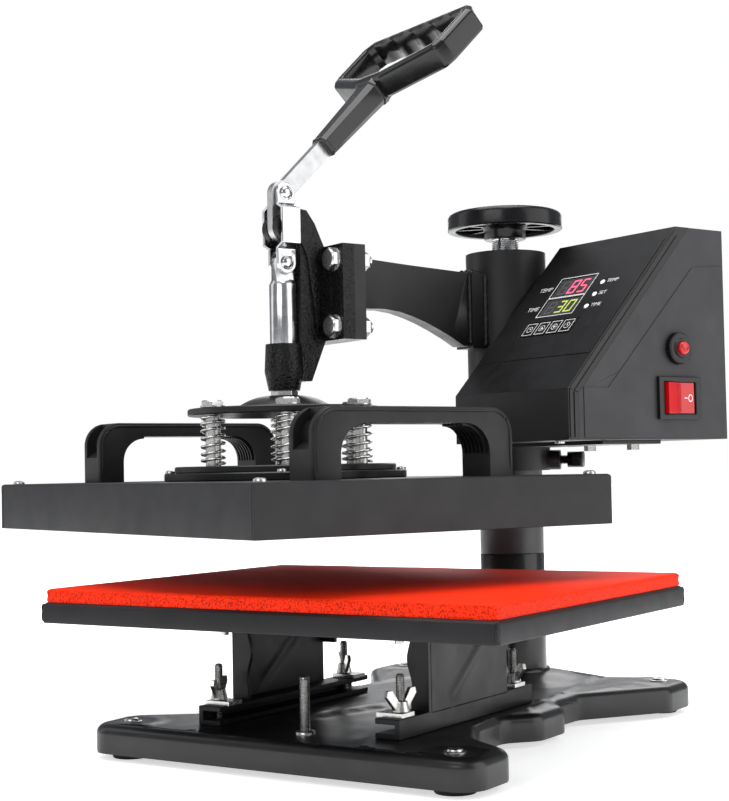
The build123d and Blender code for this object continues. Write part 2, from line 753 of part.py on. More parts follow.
def rocker():
    w, h = ROCKER_SIZE
    x0 = BOX_R
    face = [(-w / 2 + 0.6, 3.4), (0, 1.6), (w / 2 - 0.6, 3.4), (w / 2 - 1.6, -4.0), (-w / 2 + 1.6, -4.0)]
    plan = make_face(Polyline(*face, close=True))
    body = extrude(plan, h)
    body = Pos(0, 0, -h / 2) * body
    body = body - rod_z(0, 0, ROCKER_PIVOT_R, -h, h)
    body = Rot(0, 0, ROCKER_TILT) * body
    body = Rot(0, 0, -90) * body
    body = Pos(x0 + 0.2, ROCKER_Y, ROCKER_Z) * body
    return whole(body)


def reset_bezel():
    nut = rod_x(RESET_Y, RESET_Z, RESET_R, BOX_R, BOX_R + RESET_NUT_T)
    neck = rod_x(RESET_Y, RESET_Z, RESET_CAP_R + 1.6, BOX_R - 14, BOX_R + RESET_NUT_T + 1)
    bore = rod_x(RESET_Y, RESET_Z, RESET_CAP_R + 0.35, BOX_R - 12, BOX_R + RESET_NUT_T + 3)
    return whole(nut + neck - bore)


def reset_button():
    cap = rod_x(RESET_Y, RESET_Z, RESET_CAP_R, BOX_R - 7, BOX_R + RESET_OUT)
    cap = fillet(cap.edges().sort_by(Axis.X)[-1], 1.2)
    return whole(cap)


def box_bracket():
    plate = box(0, 124, -30, 21, BOX_BOTTOM - 2.5, BOX_BOTTOM)
    plate = plate - rod_z(0, 0, SLEEVE_R, BOX_BOTTOM - 5, BOX_BOTTOM + 5)
    keep = box(14, 124, -30, 21, BOX_BOTTOM - 5, BOX_BOTTOM + 1)
    plate = plate & keep
    return whole(plate)


def box_screws():
    screws = []
    for x, y in ((125.0, -66.5), (60.0, -66.5)):
        screws.append(Rot(0, 0, 0) * (rod_z(x, y, 3.0, BOX_BOTTOM - 1.8, BOX_BOTTOM)))
    for x, y in ((110.0, 10.0), (70.0, 10.0)):
        screws.append(hex_z(x, y, 7.0, BOX_BOTTOM - 6.0, BOX_BOTTOM - 2.5))
    return group(screws)


def cord_gland():
    flange = rod_y(GLAND_X, GLAND_Z, GLAND_R, BOX_REAR, BOX_REAR + 4)
    body = rod_y(GLAND_X, GLAND_Z, GLAND_R - 2, BOX_REAR - 3, BOX_REAR + GLAND_L)
    hole = rod_y(GLAND_X, GLAND_Z, 3.6, BOX_REAR - 4, BOX_REAR + GLAND_L + 1)
    return whole(flange + body - hole)


def clamp_knob():
    stud = clamp_axis(SLEEVE_IN - 0.05, CLAMP_STUD_OUT + 2, CLAMP_STUD_R)
    stud = stud - rod_z(0, 0, BUSH_R + 0.35, SLEEVE_BOTTOM - 5, SLEEVE_TOP)
    hub = clamp_axis(CLAMP_STUD_OUT, CLAMP_KNOB_OUT, 5.5)
    bar = Rot(0, 0, CLAMP_DEG) * box(CLAMP_STUD_OUT + 2.5, CLAMP_KNOB_OUT, -CLAMP_ARM, CLAMP_ARM,
                                     CLAMP_Z - 4.5, CLAMP_Z + 4.5)
    bar = fillet(bar.edges().filter_by(Plane.XY, reverse=True).filter_by(GeomType.LINE), 1.5)
    return whole(stud + hub + bar)


# ---------------------------------------------------------------- lever and links
def lever_local(shape):
    """Shape drawn along +Z from the strap pivot, leaned back to the real line."""
    return Pos(0, -ARM_REACH, PIVOT_Z + CRANK) * Rot(-LEVER_LEAN_DEG, 0, 0) * shape


def lever_bar():
    t = LEVER_HALF_T
    w = LEVER_HALF_W
    y = -ARM_REACH
    lower = box(-t, t, y - w, y + w, PIVOT_Z, PIVOT_Z + CRANK)
    lower = lower + rod_x(y, PIVOT_Z, w, -t, t) + rod_x(y, PIVOT_Z + CRANK, w, -t, t)
    upper = lever_local(box(-t, t, -BAR_HALF_W, BAR_HALF_W, 0, GRIP_END - 8))
    body = lower + upper
    body = body - rod_x(y, PIVOT_Z, PIN_HOLE, -10, 10)
    body = body - rod_x(y, PIVOT_Z + CRANK, PIN_HOLE, -10, 10)
    return whole(body)


def grip_solid():
    low = Pos(0, 0, GRIP_START) * RectangleRounded(2 * GRIP_HALF_T0, 2 * GRIP_HALF_W0, GRIP_ROUND)
    high = Pos(0, 0, GRIP_END) * RectangleRounded(2 * GRIP_HALF_T1, 2 * GRIP_HALF_W1, GRIP_ROUND + 1)
    return loft([low.face(), high.face()])


def lever_grip():
    shape = grip_solid()
    shape = shape - box(-LEVER_HALF_T, LEVER_HALF_T, -BAR_HALF_W, BAR_HALF_W, GRIP_START - 1, GRIP_END - 8)
    return whole(lever_local(shape))


def ring_outline(inset):
    w = RING_HALF_W - inset
    s0 = RING_S0 + inset
    s1 = RING_S1 - inset
    points = [
        (-14.0 - RING_SHIFT, s0), (14.0 - RING_SHIFT, s0), (w - 3.0, s0 + 14), (w, s0 + 22), (w, s1 - 9), (w - 8.0, s1),
        (8.0 - w, s1), (-w, s1 - 9), (-w, s0 + 22), (3.0 - w, s0 + 14),
    ]
    return [(x + RING_SHIFT, y) for x, y in points]


def hand_ring():
    outer = make_face(Polyline(*ring_outline(0), close=True))
    inner = make_face(Polyline(*ring_outline(RING_BAND), close=True))
    body = extrude(outer, RING_UP + RING_DOWN)
    body = fillet(body.edges().filter_by(Axis.Z), 5.0)
    hole = Pos(0, 0, -1) * extrude(inner, RING_UP + RING_DOWN + 2)
    hole = fillet(hole.edges().filter_by(Axis.Z), 4.0)
    body = body - hole
    body = fillet(body.edges().group_by(Axis.Z)[-1], 2.0)
    # drawn flat in X-Y; stand it so that Y runs along the lever
    body = Pos(0, RING_DOWN, 0) * Rot(90, 0, 0) * body
    body = body - grip_solid()
    return whole(lever_local(body))


def strap(side):
    """One toggle strap, its eyes beside the lever and the plunger, its middle bowed out."""
    top = PIVOT_Z + CRANK
    low = top - LINK
    w = STRAP_HALF_W
    flat_in = STRAP_IN
    flat_out = STRAP_IN + STRAP_T
    bulge_in = STRAP_BULGE_IN
    bulge_out = STRAP_BULGE_IN + STRAP_T
    z_hi = PIVOT_Z + CHEEK_R + 5.6
    z_lo = PIVOT_Z - CHEEK_R - 3.6
    bend = 3.0
    section = [
        (flat_in, top), (flat_in, z_hi), (bulge_in, z_hi - bend), (bulge_in, z_lo + bend),
        (flat_in, z_lo), (flat_in, low), (flat_out, low), (flat_out, z_lo - 0.8),
        (bulge_out, z_lo + bend - 0.8), (bulge_out, z_hi - bend + 0.8), (flat_out, z_hi + 0.8), (flat_out, top),
    ]
    face = make_face(Polyline(*section, close=True))
    body = extrude(face, 2 * w)
    body = Pos(0, -ARM_REACH + w, 0) * Rot(90, 0, 0) * body
    for z in (top, low):
        body = body + rod_x(-ARM_REACH, z, w, flat_in, flat_out)
    for z in (top, low):
        body = body - rod_x(-ARM_REACH, z, PIN_R, flat_in - 1, flat_out + 1)
    body = whole(body)
    if side < 0:
        body = mirror_x(body)
    return body


def toggle_straps():
    return group([strap(-1), strap(1)])


def link_rivets():
    y = -ARM_REACH
    out = STRAP_IN + STRAP_T
    top = PIVOT_Z + CRANK
    low = top - LINK
    through = rod_x(y, top, PIN_R, -out - 0.3, out + 0.3)
    for side in (-1, 1):
        through = through + rod_x(y, top, PIN_R + 1.1, min(side * out, side * (out + 2)),
                                  max(side * out, side * (out + 2)))
    pieces = [through]
    for side in (-1, 1):
        short = rod_x(y, low, PIN_R, min(side * STRAP_IN, side * (out + 0.3)),
                      max(side * STRAP_IN, side * (out + 0.3)))
        cap = rod_x(y, low, PIN_R + 1.1, min(side * out, side * (out + 2)),
                    max(side * out, side * (out + 2)))
        pieces.append(short + cap)
    return group(pieces)


# ---------------------------------------------------------------- press unit
def plunger_rod():
    y = -ARM_REACH
    body = rod_z(0, y, ROD_R, DOME_TOP + 3, ROD_TOP - 6)
    body = body + Pos(0, y, ROD_TOP - 6) * Cone(ROD_R, ROD_R - 1.5, 3, align=(Align.CENTER, Align.CENTER, Align.MIN))
    low = PIVOT_Z + CRANK - LINK
    t = TANG_HALF_T
    tang = box(-t, t, y - 6.3, y + 6.3, ROD_TOP - 4, low) + rod_x(y, low, 6.3, -t, t)
    tip = rod_z(0, y, ROD_R - 2, PLATE_BOTTOM, DOME_TOP + 4)
    return whole(body + tang + tip)


def lock_nut():
    y = -ARM_REACH
    return whole(hex_z(0, y, 15.0, DOME_TOP, DOME_TOP + 2.9) - rod_z(0, y, ROD_R - 2, DOME_TOP - 1, DOME_TOP + 5))


def spring_points():
    points = []
    for k in range(SPRING_N):
        angle = math.radians(SPRING_FIRST_DEG + k * 360.0 / SPRING_N)
        points.append((SPRING_CIRCLE * math.cos(angle), -ARM_REACH + SPRING_CIRCLE * math.sin(angle)))
    return points


def pressure_plate():
    y = -ARM_REACH
    body = rod_z(0, y, PLATE_R, PLATE_BOTTOM, PLATE_TOP)
    body = body + Pos(0, y, PLATE_TOP - 0.1) * Cone(DOME_R, DOME_TOP_R, DOME_TOP - PLATE_TOP + 0.1,
                                                    align=(Align.CENTER, Align.CENTER, Align.MIN))
    body = body - rod_z(0, y, ROD_R - 2, PLATE_BOTTOM - 1, DOME_TOP + 1)
    for x, yy in spring_points():
        body = body - rod_z(x, yy, GUIDE_HOLE, PLATE_BOTTOM - 1, PLATE_TOP + 1)
    return whole(body)


def guide_bolts():
    bolts = []
    for x, y in spring_points():
        shank = rod_z(x, y, GUIDE_R, COVER_TOP + 1, PLATE_TOP + 0.4)
        washer = rod_z(x, y, GUIDE_WASHER_R - 1.2, PLATE_TOP + 0.35, PLATE_TOP + 1.3)
        head = hex_z(x, y, GUIDE_HEAD_AF, PLATE_TOP + 1.2, PLATE_TOP + 0.4 + GUIDE_HEAD_H)
        bolts.append(shank + washer + head)
    return group(bolts)


def springs():
    coils = []
    pitch = (SPRING_TOP - SPRING_BOTTOM - 2 * SPRING_WIRE_R) / SPRING_TURNS
    for x, y in spring_points():
        path = Helix(pitch=pitch, height=pitch * SPRING_TURNS, radius=SPRING_MEAN_R)
        start = path @ 0
        tangent = path % 0
        wire = Plane(origin=start, z_dir=tangent) * Circle(SPRING_WIRE_R)
        coil = sweep(wire, path=path, is_frenet=True)
        coils.append(Pos(x, y, SPRING_BOTTOM + SPRING_WIRE_R) * coil)
    return group(coils)


def disc_lower():
    y = -ARM_REACH
    body = rod_z(0, y, DISC_LOW_R, COVER_TOP, COVER_TOP + DISC_LOW_T)
    for x, yy in spring_points():
        body = body - rod_z(x, yy, GUIDE_R, COVER_TOP - 1, COVER_TOP + DISC_LOW_T + 1)
    return whole(body)


def disc_upper():
    y = -ARM_REACH
    z = COVER_TOP + DISC_LOW_T
    body = rod_z(0, y, DISC_UP_R, z, z + DISC_UP_T)
    for x, yy in spring_points():
        body = body - rod_z(x, yy, GUIDE_R, z - 1, z + DISC_UP_T + 1)
    return whole(body)


def platen_cover():
    y = -ARM_REACH
    outer = box(-COVER_W / 2, COVER_W / 2, y - COVER_D / 2, y + COVER_D / 2, COVER_BOTTOM, COVER_TOP)
    t = COVER_SHEET
    inner = box(-COVER_W / 2 + t, COVER_W / 2 - t, y - COVER_D / 2 + t, y + COVER_D / 2 - t,
                COVER_BOTTOM - 1, COVER_TOP - t)
    body = outer - inner
    for x, yy in spring_points():
        body = body - rod_z(x, yy, GUIDE_R, COVER_TOP - 5, COVER_TOP + 1)
    return whole(body)


def heating_platen():
    y = -ARM_REACH
    half = COVER_W / 2 - COVER_SHEET
    deep = COVER_D / 2 - COVER_SHEET
    core = box(-HEAT_W / 2, HEAT_W / 2, y - HEAT_D / 2, y + HEAT_D / 2,
               COVER_BOTTOM + HEAT_RECESS, COVER_BOTTOM + HEAT_RECESS + HEAT_T)
    web = box(-half, half, y - deep, y + deep, COVER_BOTTOM + HEAT_T - 4, COVER_BOTTOM + HEAT_T)
    return whole(core + web)


def bow_handle(side):
    z0 = COVER_TOP
    outline = [
        (BOW_FRONT, z0), (BOW_FRONT, BOW_TOP), (BOW_REAR, BOW_TOP), (BOW_REAR, z0),
    ]
    body = side_plate(outline, BOW_X - BOW_W / 2, BOW_X + BOW_W / 2)
    top_corners = body.edges().filter_by(Axis.X).group_by(Axis.Z)[-1]
    body = fillet(top_corners, BOW_CORNER_R)
    arch = [
        (BOW_FRONT + BOW_LEG, z0 - 1), (BOW_FRONT + BOW_LEG, BOW_TOP - BOW_BAR),
        (BOW_REAR - BOW_LEG, BOW_TOP - BOW_BAR), (BOW_REAR - BOW_LEG, z0 - 1),
    ]
    hole = side_plate(arch, BOW_X - BOW_W, BOW_X + BOW_W)
    hole = fillet(hole.edges().filter_by(Axis.X).group_by(Axis.Z)[-1], BOW_ARCH_R)
    body = body - hole
    for y0, y1 in ((BOW_FRONT - 1, BOW_FRONT + BOW_SLOT_D), (BOW_REAR - BOW_SLOT_D, BOW_REAR + 1)):
        slot = box(BOW_X - BOW_SLOT_W / 2, BOW_X + BOW_SLOT_W / 2, y0, y1, z0 + 17, BOW_TOP - 6)
        body = body - slot
    body = whole(body)
    if side < 0:
        body = mirror_x(body)
    return body


def platen_screws():
    y = -ARM_REACH
    dx = COVER_W / 2 - 9
    dy = COVER_D / 2 - 9
    screws = []
    for sx in (-1, 1):
        for sy in (-1, 1):
            screws.append(pan_screw(sx * dx, y + sy * dy, COVER_TOP, 3.6, 2.0, 1.8, 0))
    for k in range(4):
        angle = math.radians(-34 + 90 * k)
        r = (DISC_UP_R + DISC_LOW_R) / 2
        screws.append(pan_screw(r * math.cos(angle), y + r * math.sin(angle),
                                COVER_TOP + DISC_LOW_T, 3.0, 1.8, 1.5, 0))
    return group(screws)


# ---------------------------------------------------------------- hand the pieces over
BASE_NODES = {
    "base_plate": base_plate,
    "rubber_feet": rubber_feet,
    "foot_screws": foot_screws,
    "post_lower": post_lower,
    "post_upper": post_upper,
    "leg_left": lambda: leg(-1),
    "leg_right": lambda: leg(1),
    "rail_studs": rail_studs,
    "rail_clips": rail_clips,
    "wing_nut_front_left": lambda: wing_nut(*stud_points()[0], 110),
    "wing_nut_rear_left": lambda: wing_nut(*stud_points()[1], 140),
    "wing_nut_front_right": lambda: wing_nut(*stud_points()[2], 84),
    "wing_nut_rear_right": lambda: wing_nut(*stud_points()[3], 152),
    "centre_stud": centre_stud,
    "lower_platen": lower_platen,
    "platen_bolts": platen_bolts,
    "foam_pad": foam_pad,
    "lift_bush": lift_bush,
    "jack_screw": jack_screw,
    "handwheel": handwheel,
}
HEAD_NODES = {
    "head_sleeve": head_sleeve,
    "arm_plate": arm_plate,
    "toggle_casting": toggle_casting,
    "lever_pin": lever_pin,
    "flange_bolts": flange_bolts,
    "box_front": box_front,
    "box_rear": box_rear,
    "display_windows": display_windows,
    "led_lamps": led_lamps,
    "key_1": lambda: key(0),
    "key_2": lambda: key(1),
    "key_3": lambda: key(2),
    "key_4": lambda: key(3),
    "rocker_bezel": rocker_bezel,
    "rocker": rocker,
    "reset_bezel": reset_bezel,
    "reset_button": reset_button,
    "box_bracket": box_bracket,
    "box_screws": box_screws,
    "cord_gland": cord_gland,
    "clamp_knob": clamp_knob,
    "lever_bar": lever_bar,
    "lever_grip": lever_grip,
    "hand_ring": hand_ring,
    "toggle_straps": toggle_straps,
    "link_rivets": link_rivets,
    "plunger_rod": plunger_rod,
    "lock_nut": lock_nut,
    "pressure_plate": pressure_plate,
    "guide_bolts": guide_bolts,
    "springs": springs,
    "disc_lower": disc_lower,
    "disc_upper": disc_upper,
    "platen_cover": platen_cover,
    "heating_platen": heating_platen,
    "bow_handle_left": lambda: bow_handle(-1),
    "bow_handle_right": lambda: bow_handle(1),
    "platen_screws": platen_screws,
}

for node, maker in BASE_NODES.items():
    export_step(base_place(maker()), "parts/" + node + ".step")
for node, maker in HEAD_NODES.items():
    export_step(head_place(maker()), "parts/" + node + ".step")
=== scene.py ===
import json
import math

import bmesh
import bpy
from mathutils import Matrix, Vector, geometry


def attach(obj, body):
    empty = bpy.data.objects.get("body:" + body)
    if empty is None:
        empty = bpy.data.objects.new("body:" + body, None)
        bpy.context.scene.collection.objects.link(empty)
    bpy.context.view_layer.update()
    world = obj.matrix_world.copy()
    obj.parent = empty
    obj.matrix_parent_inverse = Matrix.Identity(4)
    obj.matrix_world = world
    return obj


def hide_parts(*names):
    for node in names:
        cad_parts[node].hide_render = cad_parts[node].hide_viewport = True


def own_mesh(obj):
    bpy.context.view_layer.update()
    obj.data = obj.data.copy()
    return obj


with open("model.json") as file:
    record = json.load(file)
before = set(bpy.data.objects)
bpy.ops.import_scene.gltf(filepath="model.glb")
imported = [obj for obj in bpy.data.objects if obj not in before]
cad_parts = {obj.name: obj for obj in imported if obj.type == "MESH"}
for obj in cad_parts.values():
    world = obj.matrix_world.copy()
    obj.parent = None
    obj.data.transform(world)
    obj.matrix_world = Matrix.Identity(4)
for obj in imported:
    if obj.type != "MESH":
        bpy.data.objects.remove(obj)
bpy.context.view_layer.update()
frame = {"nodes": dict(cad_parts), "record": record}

# ---------------------------------------------------------------- places
# Pieces are drawn in millimetres about the post, as the design is, and put in
# the shared frame by one of these.
MM = Matrix.Scale(0.001, 4)
POST = Matrix.Translation((0.0567645, 0.1474742, 0))
SWING = math.radians(-21.9)
BASE = POST @ MM
HEAD = POST @ Matrix.Rotation(SWING, 4, "Z") @ MM
ARM_REACH = 184.5
PIVOT_Z = 318.1
CRANK = 22.0

POST_TOP = 285.0
SLEEVE_BOTTOM = 162.0
SLEEVE_TOP = 313.0
HUB_R, HUB_BOTTOM, HUB_TOP = 14.4, 323.4, 328.5
WHEEL_R, WHEEL_BOTTOM, WHEEL_TOP = 40.0, 329.5, 342.2
COVER_LOW, COVER_TOP = 130.2, 159.5
DISC_TOP = 164.5
BOW_TOP, BOW_FRONT, BOW_REAR = 199.3, -72.0, 66.0

BOX_X = (30.0, 138.5)
BOX_Y = (-71.0, 67.0)
BOX_BOTTOM = 180.0
BOX_KNEE = 211.5
BOX_TOP = 315.5
RIDGE_Y = 24.0
SLOPE_ANGLE = math.atan2(BOX_TOP - BOX_KNEE, RIDGE_Y - BOX_Y[0])
SLOPE = HEAD @ Matrix.Translation((0, RIDGE_Y, BOX_TOP)) @ Matrix.Rotation(SLOPE_ANGLE, 4, "X")
LEVER = HEAD @ Matrix.Translation((0, -ARM_REACH, PIVOT_Z + CRANK)) @ Matrix.Rotation(math.radians(-45), 4, "X")
PLATEN = HEAD @ Matrix.Translation((0, -ARM_REACH, 0))
SIDE = HEAD @ Matrix.Translation((BOX_X[1], 0, 0)) @ Matrix.Rotation(
    math.pi / 2, 4, "Z"
) @ Matrix.Rotation(math.pi / 2, 4, "X")


# ---------------------------------------------------------------- materials
class Nodes:
    """A principled material whose colour, roughness and bump come from a few noises."""

    def __init__(self, name, colour, rough, metallic=0.0):
        self.mat = bpy.data.materials.new(name)
        self.mat.use_nodes = True
        self.tree = self.mat.node_tree
        self.out = self.tree.nodes["Principled BSDF"]
        self.out.inputs["Base Color"].default_value = (*colour, 1)
        self.out.inputs["Roughness"].default_value = rough
        self.out.inputs["Metallic"].default_value = metallic
        self.coord = self.tree.nodes.new("ShaderNodeTexCoord")
        self.height = None

    def link(self, a, b):
        self.tree.links.new(a, b)

    def noise(self, scale, detail=3.0, stretch=(1, 1, 1)):
        mapping = self.tree.nodes.new("ShaderNodeMapping")
        mapping.inputs["Scale"].default_value = stretch
        self.link(self.coord.outputs["Object"], mapping.inputs["Vector"])
        node = self.tree.nodes.new("ShaderNodeTexNoise")
        node.inputs["Scale"].default_value = scale
        node.inputs["Detail"].default_value = detail
        self.link(mapping.outputs["Vector"], node.inputs["Vector"])
        return node.outputs["Fac"]

    def cells(self, scale, feature="F1", randomness=1.0):
        node = self.tree.nodes.new("ShaderNodeTexVoronoi")
        node.feature = feature
        node.inputs["Scale"].default_value = scale
        node.inputs["Randomness"].default_value = randomness
        self.link(self.coord.outputs["Object"], node.inputs["Vector"])
        return node.outputs["Distance"]

    def ramp(self, value, low, high, out_low, out_high):
        node = self.tree.nodes.new("ShaderNodeMapRange")
        for socket, number in (
            ("From Min", low), ("From Max", high), ("To Min", out_low), ("To Max", out_high)
        ):
            node.inputs[socket].default_value = number
        self.link(value, node.inputs["Value"])
        return node.outputs["Result"]

    def blend(self, value, dark, light):
        """Base colour runs from dark to light as value goes from 0.3 to 0.7."""
        node = self.tree.nodes.new("ShaderNodeMix")
        node.data_type = "RGBA"
        self.link(self.ramp(value, 0.3, 0.7, 0, 1), node.inputs["Factor"])
        node.inputs[6].default_value = (*dark, 1)
        node.inputs[7].default_value = (*light, 1)
        self.link(node.outputs[2], self.out.inputs["Base Color"])
        return node.outputs[2]

    def rough(self, value, low, high):
        self.link(self.ramp(value, 0.3, 0.7, low, high), self.out.inputs["Roughness"])

    def bump(self, value, distance, strength=1.0):
        node = self.tree.nodes.new("ShaderNodeBump")
        node.inputs["Distance"].default_value = distance
        node.inputs["Strength"].default_value = strength
        self.link(value, node.inputs["Height"])
        if self.height is not None:
            self.link(self.height, node.inputs["Normal"])
        self.height = node.outputs["Normal"]
        self.link(self.height, self.out.inputs["Normal"])

    def put(self, **values):
        names = {"coat": "Coat Weight", "coat_rough": "Coat Roughness", "specular": "Specular IOR Level",
                 "sheen": "Sheen Weight", "aniso": "Anisotropic", "glow": "Emission Strength"}
        for key, number in values.items():
            self.out.inputs[names[key]].default_value = number
        return self.mat

    def glow(self, colour, strength):
        self.out.inputs["Emission Color"].default_value = (*colour, 1)
        self.out.inputs["Emission Strength"].default_value = strength
        return self.mat


def scaled(colour, factor):
    return tuple(min(1.0, c * factor) for c in colour)


def paint(name, colour, rough, peel=1500.0, depth=0.00008, mottle=0.18, **extra):
    """Sprayed or powder-coated metal: fine orange peel and slow changes of sheen."""
    m = Nodes(name, colour, rough)
    m.blend(m.noise(38, 4), scaled(colour, 1 - mottle), scaled(colour, 1 + mottle))
    m.rough(m.noise(55, 3), rough - 0.05, rough + 0.07)
    m.bump(m.noise(peel, 2), depth, 0.55)
    return m.put(**extra)


def plastic(name, colour, rough, grain=2200.0, depth=0.00005, **extra):
    """Moulded plastic: spark-eroded grain over a faint flow mottle."""
    m = Nodes(name, colour, rough)
    m.blend(m.noise(24, 3), scaled(colour, 0.85), scaled(colour, 1.2))
    m.rough(m.noise(90, 2), rough - 0.04, rough + 0.06)
    m.bump(m.cells(grain, "SMOOTH_F1"), depth, 0.5)
    return m.put(**extra)


def metal(name, colour, rough, stretch=(1, 1, 12), scratch=900.0, depth=0.00002, spangle=0.0, **extra):
    """Bare or plated steel with drawn lines and, on zinc, a faint spangle."""
    m = Nodes(name, colour, rough, metallic=1.0)
    m.blend(m.noise(160, 4), scaled(colour, 0.82), scaled(colour, 1.08))
    m.rough(m.noise(scratch, 3, stretch), rough - 0.06, rough + 0.10)
    m.bump(m.noise(scratch, 2, stretch), depth, 0.5)
    if spangle:
        m.bump(m.cells(420), spangle, 0.4)
    return m.put(**extra)


def hammered(name, colour, rough):
    """Casting under thick hammered paint: round hollows a few millimetres wide."""
    m = Nodes(name, colour, rough)
    m.blend(m.noise(300, 3), scaled(colour, 0.6), scaled(colour, 1.5))
    m.rough(m.noise(420, 2), rough - 0.08, rough + 0.12)
    m.bump(m.cells(620, "SMOOTH_F1"), 0.0006, 0.8)
    m.bump(m.noise(1500, 3), 0.0002, 0.6)
    return m.put(specular=0.22)


def sponge(name, colour):
    """Open-pore silicone foam: the cut sides are full of pores, darkened with painted shade, the skin above is
    finer.
    """
    m = Nodes(name, colour, 0.62)
    pores = m.cells(620, "F1")
    fine = m.cells(1300, "F1")
    coarse = m.noise(1150, 3)
    side = m.tree.nodes.new("ShaderNodeSeparateXYZ")
    geo = m.tree.nodes.new("ShaderNodeNewGeometry")
    m.link(geo.outputs["Normal"], side.inputs["Vector"])
    up = m.ramp(side.outputs["Z"], 0.35, 0.8, 1.0, 0.0)
    # painted shade in the pores: a noise mask, on the cut sides only, darkens the colour there
    hole = m.tree.nodes.new("ShaderNodeMath")
    hole.operation = "MULTIPLY"
    m.link(m.ramp(coarse, 0.50, 0.60, 0.0, 1.0), hole.inputs[0])
    m.link(up, hole.inputs[1])
    mix = m.tree.nodes.new("ShaderNodeMix")
    mix.data_type = "RGBA"
    m.link(hole.outputs[0], mix.inputs["Factor"])
    slow = m.blend(m.noise(16, 2), scaled(colour, 0.90), scaled(colour, 1.06))
    m.link(slow, mix.inputs[6])
    mix.inputs[7].default_value = (colour[0] * 0.42, colour[1] * 0.30, colour[2] * 0.3, 1)
    m.link(mix.outputs[2], m.out.inputs["Base Color"])
    m.bump(pores, 0.0006, 0.35)
    m.bump(fine, 0.0002, 0.5)
    return m.put(specular=0.10)


def glow(name, colour, strength):
    m = Nodes(name, colour, 0.35)
    m.blend(m.noise(500, 2), scaled(colour, 0.9), scaled(colour, 1.05))
    return m.glow(colour, strength)


MATERIALS = {
    "base_black": paint(
        "base paint", (0.0065, 0.0065, 0.007), 0.34, peel=1000, depth=0.00010, specular=0.42, coat=0.15,
        coat_rough=0.16
    ),
    "leg_black": paint("leg paint", (0.0070, 0.0070, 0.0075), 0.42, specular=0.28, coat=0.06, coat_rough=0.25),
    "post_black": paint(
        "post gloss", (0.004, 0.004, 0.0045), 0.26, depth=0.00003, specular=0.35, coat=0.2, coat_rough=0.1
    ),
    "post_upper_black": paint("post satin", (0.020, 0.020, 0.021), 0.36, depth=0.00003, specular=0.5),
    "pan_black": paint("pan paint", (0.013, 0.013, 0.014), 0.44, depth=0.0001, specular=0.28),
    "foot_rubber": plastic("foot rubber", (0.006, 0.006, 0.006), 0.7, specular=0.2),
    "zinc": metal("zinc plate", (0.62, 0.61, 0.59), 0.26, spangle=0.00003),
    "foam": sponge("silicone foam", (0.94, 0.030, 0.003)),
    "bronze": metal("bush bronze", (0.42, 0.30, 0.14), 0.35),
    "chrome": metal("chrome", (0.60, 0.60, 0.61), 0.12, depth=0.000008),
    "knob_plastic": plastic(
        "knob plastic", (0.004, 0.004, 0.0045), 0.25, specular=0.3, coat=0.08, coat_rough=0.1
    ),
    "sleeve_black": paint(
        "sleeve paint", (0.0075, 0.0075, 0.008), 0.38, specular=0.32, coat=0.05, coat_rough=0.25
    ),
    "casting_black": hammered("hammered casting", (0.004, 0.004, 0.0045), 0.30),
    "steel": metal("turned steel", (0.60, 0.60, 0.60), 0.17, stretch=(1, 1, 25)),
    "shell_plastic": plastic(
        "shell plastic", (0.0060, 0.0060, 0.0065), 0.36, grain=2600, specular=0.32, coat=0.05, coat_rough=0.2
    ),
    "cover_grey": paint("cover paint", (0.030, 0.030, 0.032), 0.52, peel=1900, depth=0.00009, specular=0.3),
    "display": plastic("display glass", (0.060, 0.060, 0.064), 0.15, depth=0.00001, coat=0.3, coat_rough=0.05),
    "lamp": glow("indicator", (0.80, 0.82, 0.86), 0.35),
    "key_black": plastic("key film", (0.006, 0.006, 0.0065), 0.36, specular=0.3),
    "rocker_red": plastic(
        "red lens", (0.50, 0.004, 0.007), 0.18, depth=0.00001, specular=0.4, coat=0.25, coat_rough=0.08
    ),
    "switch_black": plastic("switch body", (0.005, 0.005, 0.0055), 0.34, specular=0.35),
    "gland_plastic": plastic("gland plastic", (0.007, 0.007, 0.0075), 0.42, specular=0.3),
    "lever_steel": metal("bright bar", (0.50, 0.50, 0.50), 0.34, stretch=(14, 1, 1)),
    "grip_plastic": plastic(
        "grip gloss", (0.0045, 0.0045, 0.005), 0.22, depth=0.00002, specular=0.4, coat=0.15, coat_rough=0.08
    ),
    "disc_black": paint("disc paint", (0.0070, 0.0070, 0.0075), 0.36, specular=0.3, coat=0.05, coat_rough=0.2),
    "cover_sheet": paint("platen sheet", (0.013, 0.013, 0.014), 0.46, peel=2100, depth=0.00006, specular=0.28),
    "platen_alu": metal("coated platen", (0.10, 0.10, 0.105), 0.40),
    "bow_plastic": plastic(
        "bow plastic", (0.0065, 0.0065, 0.007), 0.42, grain=2400, depth=0.00006, specular=0.3
    ),
    "spring_steel": metal("spring wire", (0.74, 0.73, 0.71), 0.20),
}
# painted light: the white print glows a little, though it is only ink
INK_PAINTED_GLOW = glow("white ink", (0.78, 0.78, 0.78), 0.12)
GREY_INK = glow("grey segment", (0.10, 0.10, 0.10), 0.0)
RED_LIT = glow("red segments", (1.0, 0.10, 0.20), 1.0)
GREEN_LIT = glow("green segments", (0.42, 0.50, 0.10), 0.7)
# painted shade: a near-black used for hole throats, screw recesses, louvre slots and open seams, where shade
# falls
SEAM_SHADE = plastic("seam shadow", (0.004, 0.004, 0.004), 0.6)

SLOT_OF = {}
for entry in frame["record"]["subparts"]:
    SLOT_OF[entry["node"]] = entry["material_slot"]
BODY_OF = {}
for body_name, members in frame["record"]["behaviour"]["bodies"].items():
    for member in members:
        BODY_OF[member] = body_name


